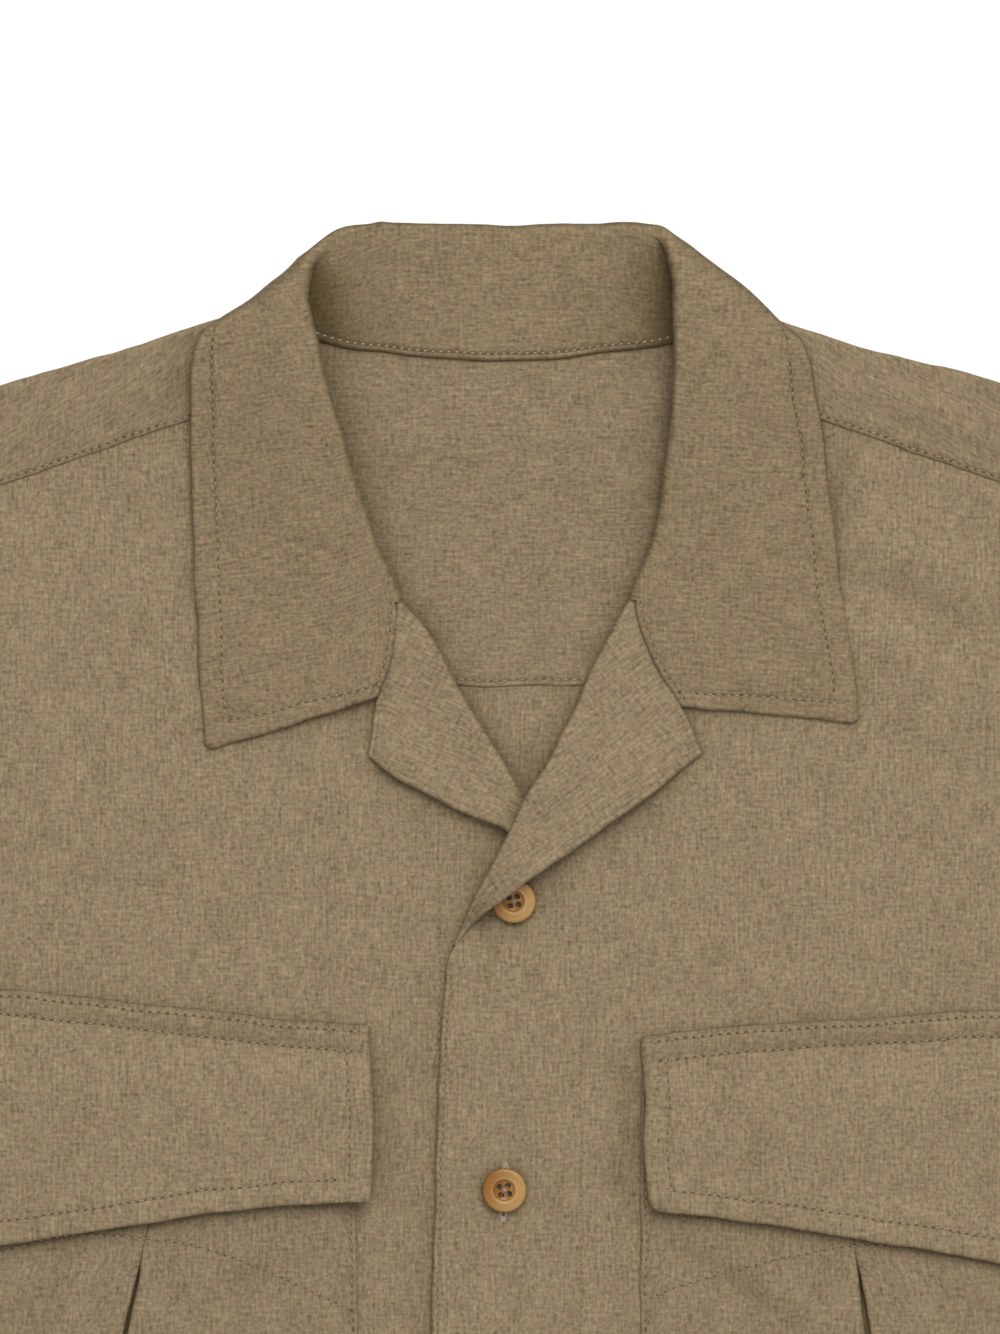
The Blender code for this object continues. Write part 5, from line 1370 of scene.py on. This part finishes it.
def stitchTree():
    tree = bpy.data.node_groups.new("stitchRow", "GeometryNodeTree")
    sockets = (("Geometry", "Geometry"), ("Pitch", "Float"), ("Length", "Float"), ("Radius", "Float"),
               ("Hole", "Float"), ("Turn", "Float"), ("Seed", "Int"), ("Thread", "Material"),
               ("HoleShade", "Material"))
    for name, kind in sockets:
        tree.interface.new_socket(name, in_out="INPUT", socket_type="NodeSocket" + kind)
    tree.interface.new_socket("Geometry", in_out="OUTPUT", socket_type="NodeSocketGeometry")
    entry = tree.nodes.new("NodeGroupInput")
    given = {name: Wire(tree, entry.outputs[name]) for name, _ in sockets}
    pitch, length, radius, hole, turn, seed = (given[name] for name, _ in sockets[1:7])
    wire = Wire(tree)
    curve = wire.add("GeometryNodeMeshToCurve", {}, {0: given["Geometry"]})
    curve = wire.add("GeometryNodeResampleCurve", {"mode": "LENGTH"}, {"Curve": curve, "Length": pitch})
    tangent = wire.add("GeometryNodeInputTangent")
    up = wire.add("GeometryNodeInputNamedAttribute", {"data_type": "FLOAT_VECTOR"}, {"Name": "up"})
    align = "FunctionNodeAlignRotationToVector"
    facing = wire.add(align, {"axis": "Z"}, {"Vector": up})
    facing = wire.add(align, {"axis": "X", "pivot_axis": "Z"}, {"Rotation": facing, "Vector": tangent})
    askew = chance(wire, -thread["askew"], thread["askew"], seed)
    spin = wire.add("ShaderNodeCombineXYZ", {}, {"Z": turn + askew})
    spin = wire.add("FunctionNodeEulerToRotation", {}, {0: spin})
    facing = wire.add("FunctionNodeRotateRotation", {"rotation_space": "LOCAL"}, {0: facing, 1: spin})
    uneven = chance(wire, *thread["uneven"], seed + 1.0)
    size = wire.add("ShaderNodeCombineXYZ", {}, {
        "X": length * 0.5 * uneven, "Y": radius, "Z": radius * thread["flat"]})
    bead = wire.add("GeometryNodeMeshUVSphere", {}, {"Segments": 6, "Rings": 4, "Radius": 1.0})
    beads = laidOut(wire, bead, curve, facing, size, given["Thread"])
    half = wire.add("ShaderNodeVectorMath", {"operation": "SCALE"}, {0: tangent, "Scale": pitch * 0.5})
    between = wire.add("GeometryNodeSetPosition", {}, {"Geometry": curve, "Offset": half})
    # painted shade: a flat dark disc between beads for each needle hole
    disc = wire.add("GeometryNodeMeshCircle", {"fill_type": "NGON"}, {"Vertices": 8, "Radius": 1.0})
    holeSize = wire.add("ShaderNodeCombineXYZ", {}, {
        "X": hole * uneven, "Y": hole * thread["holeFlat"], "Z": hole})
    holes = laidOut(wire, disc, between, facing, holeSize, given["HoleShade"])
    joined = tree.nodes.new("GeometryNodeJoinGeometry")
    tree.links.new(holes.socket, joined.inputs[0])
    tree.links.new(beads.socket, joined.inputs[0])
    leave = tree.nodes.new("NodeGroupOutput")
    tree.links.new(joined.outputs[0], leave.inputs[0])
    return tree


stitches = stitchTree()
surfaces = {}


def dropped(piece, line, over):     # a plan line laid on top of a piece
    if piece.name not in surfaces:
        surfaces[piece.name] = BVHTree.FromObject(piece, bpy.context.evaluated_depsgraph_get())
    run = runAlong(line)
    count = max(2, int(run[-1] / thread["pitch"]))
    spots = []
    for x, y in pickedAlong(line, run, np.linspace(0.0, run[-1], count)):
        start = Vector((x, y - centreY, thread["castFrom"])) * mm
        place, normal, _, _ = surfaces[piece.name].ray_cast(start, Vector((0.0, 0.0, -1.0)))
        spots.append(None if place is None else (place + normal * over * mm, normal))
    return spots


def stitchPiece(name, lines, style):
    places, ups, edges = [], [], []
    for piece, line in lines:
        previous = None
        for spot in dropped(piece, line, thread["over"]):
            if spot is None:
                previous = None
                continue
            places.append(spot[0])
            ups.append(spot[1])
            if previous is not None:
                edges.append((previous, len(places) - 1))
            previous = len(places) - 1
    mesh = bpy.data.meshes.new(name)
    mesh.from_pydata(places, edges, [])
    layer = mesh.attributes.new("up", "FLOAT_VECTOR", "POINT")
    layer.data.foreach_set("vector", np.array(ups, np.float32).ravel())
    item = placed(name, mesh)
    modifier = item.modifiers.new("stitches", "NODES")
    modifier.node_group = stitches
    *measures, turn, finish = stitchStyles[style]
    values = {key: measure * mm for key, measure in zip(("Pitch", "Length", "Radius", "Hole"), measures)}
    values.update({"Turn": turn, "Seed": thread["seed"], "Thread": finish, "HoleShade": needleShadeFinish})
    for socket in stitches.interface.items_tree:
        if socket.in_out == "INPUT" and socket.name in values:
            modifier[socket.identifier] = values[socket.name]
    plainMesh(item)
    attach(item, "root")
    print("stitches", name, len(item.data.polygons), "faces")


for styleName, lines in seams.items():
    stitchPiece("stitches" + styleName.title(), lines, styleName)


# Buttons: each point of the profile is a share of the button's radius, and a height in millimetres
buttonCut = {
    "radius": 7.5, "cuffRadius": 5.6, "stand": 0.4, "turn": 9.0, "segments": 64, "sharp": 42.0,
    "holeRadius": 1.02, "holePlace": 1.4, "holeDepth": 8.0,
    "places": ((3.0, -201.5), (-0.2, -300.3), (-0.5, -398.3), (-0.5, -496.3), (-0.5, -594.3)),
    "profile": ((0.0, 0.0), (0.7, 0.0), (0.84, 0.18), (0.94, 0.6), (0.99, 1.15), (1.0, 1.6), (0.985, 2.05),
                (0.95, 2.38), (0.89, 2.56), (0.81, 2.6), (0.7, 2.54), (0.63, 2.52), (0.58, 2.55), (0.54, 2.5),
                (0.505, 2.3), (0.475, 2.0), (0.44, 1.72), (0.39, 1.5), (0.3, 1.38), (0.15, 1.35),
                (0.0, 1.35)),
}
hornLook = {
    "red": (0.205, 0.073, 0.002, 1.0), "yellow": (0.350, 0.200, 0.060, 1.0), "ringHighlight": (0.47, 0.30, 0.14, 1.0),
    "streaks": (260.0, 900.0, 260.0), "drift": 95.0, "share": 0.4, "polish": (0.3, 0.7, 0.28, 0.42),
    "slope": (0.5, -0.32), "dish": (0.42, 0.53), "dishShade": 0.4,
    "ring": (0.56, 0.05), "ringHighlightStrength": 0.55, "ringSlope": (0.6, 0.5, -0.3),
}


def hornMaterial():             # horn-like tan with soft drifting streaks
    material, shader, wire = newMaterial(
        "buttonHorn", 0.3, Coat_Weight=0.3, Coat_Roughness=0.12, Specular_IOR_Level=0.28)
    place = wire.add("ShaderNodeTexCoord", out=3)
    scaled = wire.add("ShaderNodeVectorMath", {"operation": "MULTIPLY"}, {0: place, 1: hornLook["streaks"]})
    streak = wire.add("ShaderNodeTexNoise", {}, {
        "Vector": scaled, "Scale": 1.0, "Detail": 3.0, "Distortion": 0.6})
    drift = wire.add("ShaderNodeTexNoise", {}, {"Vector": place, "Scale": hornLook["drift"], "Detail": 1.0})
    across = wire.add("ShaderNodeAttribute", {"attribute_name": "across"}, out=2)
    share = hornLook["share"]
    tone = (streak * share + drift * share + across - share).clamped()
    # painted highlight: the paler ring round the dish, from the mesh's attribute
    ringHighlight = wire.add("ShaderNodeAttribute", {"attribute_name": "ringHighlight"}, out=2)
    colour = ringHighlight.blend(tone.blend(hornLook["red"], hornLook["yellow"]), hornLook["ringHighlight"])
    colour.into(shader, "Base Color")
    streak.ranged(*hornLook["polish"]).into(shader, "Roughness")
    return material


horn = hornMaterial()


def pointValues(mesh, name, values):
    layer = mesh.attributes.new(name, "FLOAT", "POINT")
    layer.data.foreach_set("value", values.astype(np.float32))


def spunButton(radius):
    shape = bmesh.new()
    outline = [shape.verts.new((share * radius * mm, 0.0, height * mm))
               for share, height in buttonCut["profile"]]
    edges = [shape.edges.new(pair) for pair in zip(outline, outline[1:])]
    bmesh.ops.spin(shape, geom=outline + edges, cent=(0, 0, 0), axis=(0, 0, 1), angle=math.tau,
                   steps=buttonCut["segments"], use_duplicate=False)
    bmesh.ops.remove_doubles(shape, verts=shape.verts, dist=1e-6)
    bmesh.ops.recalc_face_normals(shape, faces=shape.faces)
    mesh = meshFrom(shape, "buttonBlank")
    x, y, _ = np.array([vertex.co for vertex in mesh.vertices]).T / (radius * mm)
    out = np.hypot(x, y)
    slopeX, slopeY = hornLook["slope"]          # from redder horn to yellower; painted shade makes the dish darker and redder
    dish = 1.0 - ease(*hornLook["dish"], out)
    pointValues(mesh, "across", 0.5 + slopeX * x + slopeY * y - hornLook["dishShade"] * dish)
    level, slopeX, slopeY = hornLook["ringSlope"]       # painted highlight: the ring round the dish is paler, more so toward one side
    ring = hornLook["ringHighlightStrength"] * bump(out, *hornLook["ring"])
    pointValues(mesh, "ringHighlight", ring * np.clip(level + slopeX * x + slopeY * y, 0.0, 1.0))
    return mesh


def threadHoles(radius):
    scale = radius / buttonCut["radius"] * mm
    hole = buttonCut["holeRadius"] * scale
    shape = bmesh.new()
    for x in (-1.0, 1.0):
        for y in (-1.0, 1.0):
            made = bmesh.ops.create_cone(shape, cap_ends=True, segments=16, radius1=hole, radius2=hole,
                                         depth=buttonCut["holeDepth"] * mm)
            shift = Vector((x, y, 0.0)) * buttonCut["holePlace"] * scale
            bmesh.ops.translate(shape, verts=made["verts"], vec=shift)
    return meshFrom(shape, "buttonDrill")


strand = {"steps": 8, "sides": 6, "radius": 0.2, "place": 0.6, "base": 0.7, "high": 1.02, "crossing": 0.14,
          "apart": 0.15, "skew": 0.5}


def threadLoop(shape, start, finish, high, radius):     # one strand arched from hole to hole
    rings, sides = [], strand["sides"]
    run = Vector(finish) - Vector(start)
    across = Vector((-run.y, run.x, 0.0)).normalized()
    for step in range(strand["steps"] + 1):
        share = step / strand["steps"]
        centre = Vector(start).lerp(Vector(finish), share)
        centre = centre + Vector((0.0, 0.0, high * math.sin(math.pi * share)))
        ring = []
        for turn in range(sides):
            angle = math.tau * turn / sides
            spot = centre + across * radius * math.cos(angle) + Vector((0.0, 0.0, radius * math.sin(angle)))
            ring.append(shape.verts.new(spot))
        rings.append(ring)
    for first, second in zip(rings, rings[1:]):
        for turn in range(sides):
            ahead = (turn + 1) % sides
            shape.faces.new((first[turn], first[ahead], second[ahead], second[turn]))
    shape.faces.new(rings[0][::-1])
    shape.faces.new(rings[-1])


def buttonThread(radius):       # two strands each way, crossed over the dish
    scale = radius / buttonCut["radius"] * mm
    place, base = buttonCut["holePlace"] * strand["place"] * scale, strand["base"] * mm
    shape = bmesh.new()
    for way in (1.0, -1.0):
        for side in (-strand["apart"], strand["apart"]):
            skew, shift = side * strand["skew"] * scale, side * way * scale
            high = strand["high"] * mm + strand["crossing"] * mm * (way > 0.0)
            start = (-place - skew, -place * way + shift, base)
            finish = (place - skew, place * way + shift, base)
            threadLoop(shape, start, finish, high, strand["radius"] * scale)
    bmesh.ops.recalc_face_normals(shape, faces=shape.faces)
    return meshFrom(shape, "buttonThread")


def makeButton(name, node, radius, place, normal):
    seat = Matrix.Translation(Vector((place[0], place[1] - centreY, place[2])) * mm)
    seat = seat @ Vector((0.0, 0.0, 1.0)).rotation_difference(normal).to_matrix().to_4x4()
    seat = seat @ Matrix.Rotation(math.radians(buttonCut["turn"]), 4, "Z")
    piece = meshPiece(name, spunButton(radius), horn)
    drill = placed(name + "Drill", threadHoles(radius))
    cut = piece.modifiers.new("threadHoles", "BOOLEAN")
    cut.operation = "DIFFERENCE"
    cut.solver = "EXACT"
    cut.object = drill
    plainMesh(piece)
    bpy.data.objects.remove(drill, do_unlink=True)
    piece.data.transform(seat)
    piece.data.set_sharp_from_angle(angle=math.radians(buttonCut["sharp"]))
    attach(piece, "root")
    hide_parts(node)
    sewnOn = meshPiece(name + "Thread", buttonThread(radius), holeThreadFinish)
    sewnOn.data.transform(seat)
    sewnOn.data.shade_smooth()
    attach(sewnOn, "root")


def onLeftFront(x, y):          # the front's slope there
    step = buttonCut["radius"]
    slopeX = (leftFrontHeight(x + step, y) - leftFrontHeight(x - step, y)) / (2.0 * step)
    slopeY = (leftFrontHeight(x, y + step) - leftFrontHeight(x, y - step)) / (2.0 * step)
    return Vector((-float(slopeX), -float(slopeY), 1.0)).normalized()


for number, (buttonX, buttonY) in enumerate(buttonCut["places"], 1):
    level = float(leftFrontHeight(buttonX, buttonY)) + cloth["single"] / 2.0 + buttonCut["stand"]
    makeButton("buttonFront%d" % number, "button_front_%d" % number, buttonCut["radius"],
               (buttonX, buttonY, level), onLeftFront(buttonX, buttonY))
for label, side in (("left", 1.0), ("right", -1.0)):
    along = cuffCut["length"] / 2.0 + cuffCut["overlap"]
    spot = cuffStart() + sleeveDown * sum(cuffCut["lap"]) / 2.0 + sleeveAxis * along
    level = 2.0 * cloth["double"] + 2.0 * cuffCut["roll"] + cuffCut["lapGap"] + cuffCut["buttonGap"]
    makeButton("buttonCuff" + label.title(), "button_cuff_" + label, buttonCut["cuffRadius"],
               (side * spot[0], spot[1], level), Vector((0.0, 0.0, 1.0)))
print("buttons made")


# Buttonholes under the front buttons below the lapel, with dark strips painted as the shade in their slits
buttonhole = {"length": 19.9, "width": 3.4, "tilt": 0.045, "below": 0.75, "rim": 0.75, "closing": (0.5, 8),
              "points": 40, "tackPoints": 4, "slitFrom": 5, "slitHalf": 0.22, "slitOver": 0.08}


def makeButtonholes():
    front = bpy.data.objects["frontLeft"]
    bars, tacks, slitShade = [], [], bmesh.new()
    reach, ends, slitFrom = buttonhole["length"] / 2.0, buttonhole["tackPoints"], buttonhole["slitFrom"]
    run = np.linspace(-reach, reach, buttonhole["points"])
    narrower, power = buttonhole["closing"]     # the sides close at the ends
    half = (buttonhole["width"] / 2.0 - buttonhole["rim"]) * (1.0 - narrower * np.abs(run / reach) ** power)
    for x, y in buttonCut["places"][1:]:
        middle = stacked(x + buttonhole["tilt"] * run, y - buttonhole["below"] + run)
        bars += [(front, middle + way * stacked(half, 0.0)) for way in (-1.0, 1.0)]
        tacks += [(front, middle[:ends]), (front, middle[-ends:])]
        # painted shade: a dark strip along the middle of each buttonhole
        spots = dropped(front, middle[slitFrom:-slitFrom], buttonhole["slitOver"])
        shift = Vector((buttonhole["slitHalf"] * mm, 0.0, 0.0))
        low, high = ([slitShade.verts.new(spot + way * shift) for spot, _ in spots] for way in (-1.0, 1.0))
        for k in range(len(spots) - 1):
            slitShade.faces.new((low[k], high[k], high[k + 1], low[k + 1]))
    stitchPiece("buttonholes", bars, "bar")
    stitchPiece("buttonholeTacks", tacks, "tack")
    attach(meshPiece("buttonholeSlitShade", meshFrom(slitShade, "buttonholeSlitShade"), needleShadeFinish), "root")


makeButtonholes()
makeStudio()
makeCamera()
print("studio set")
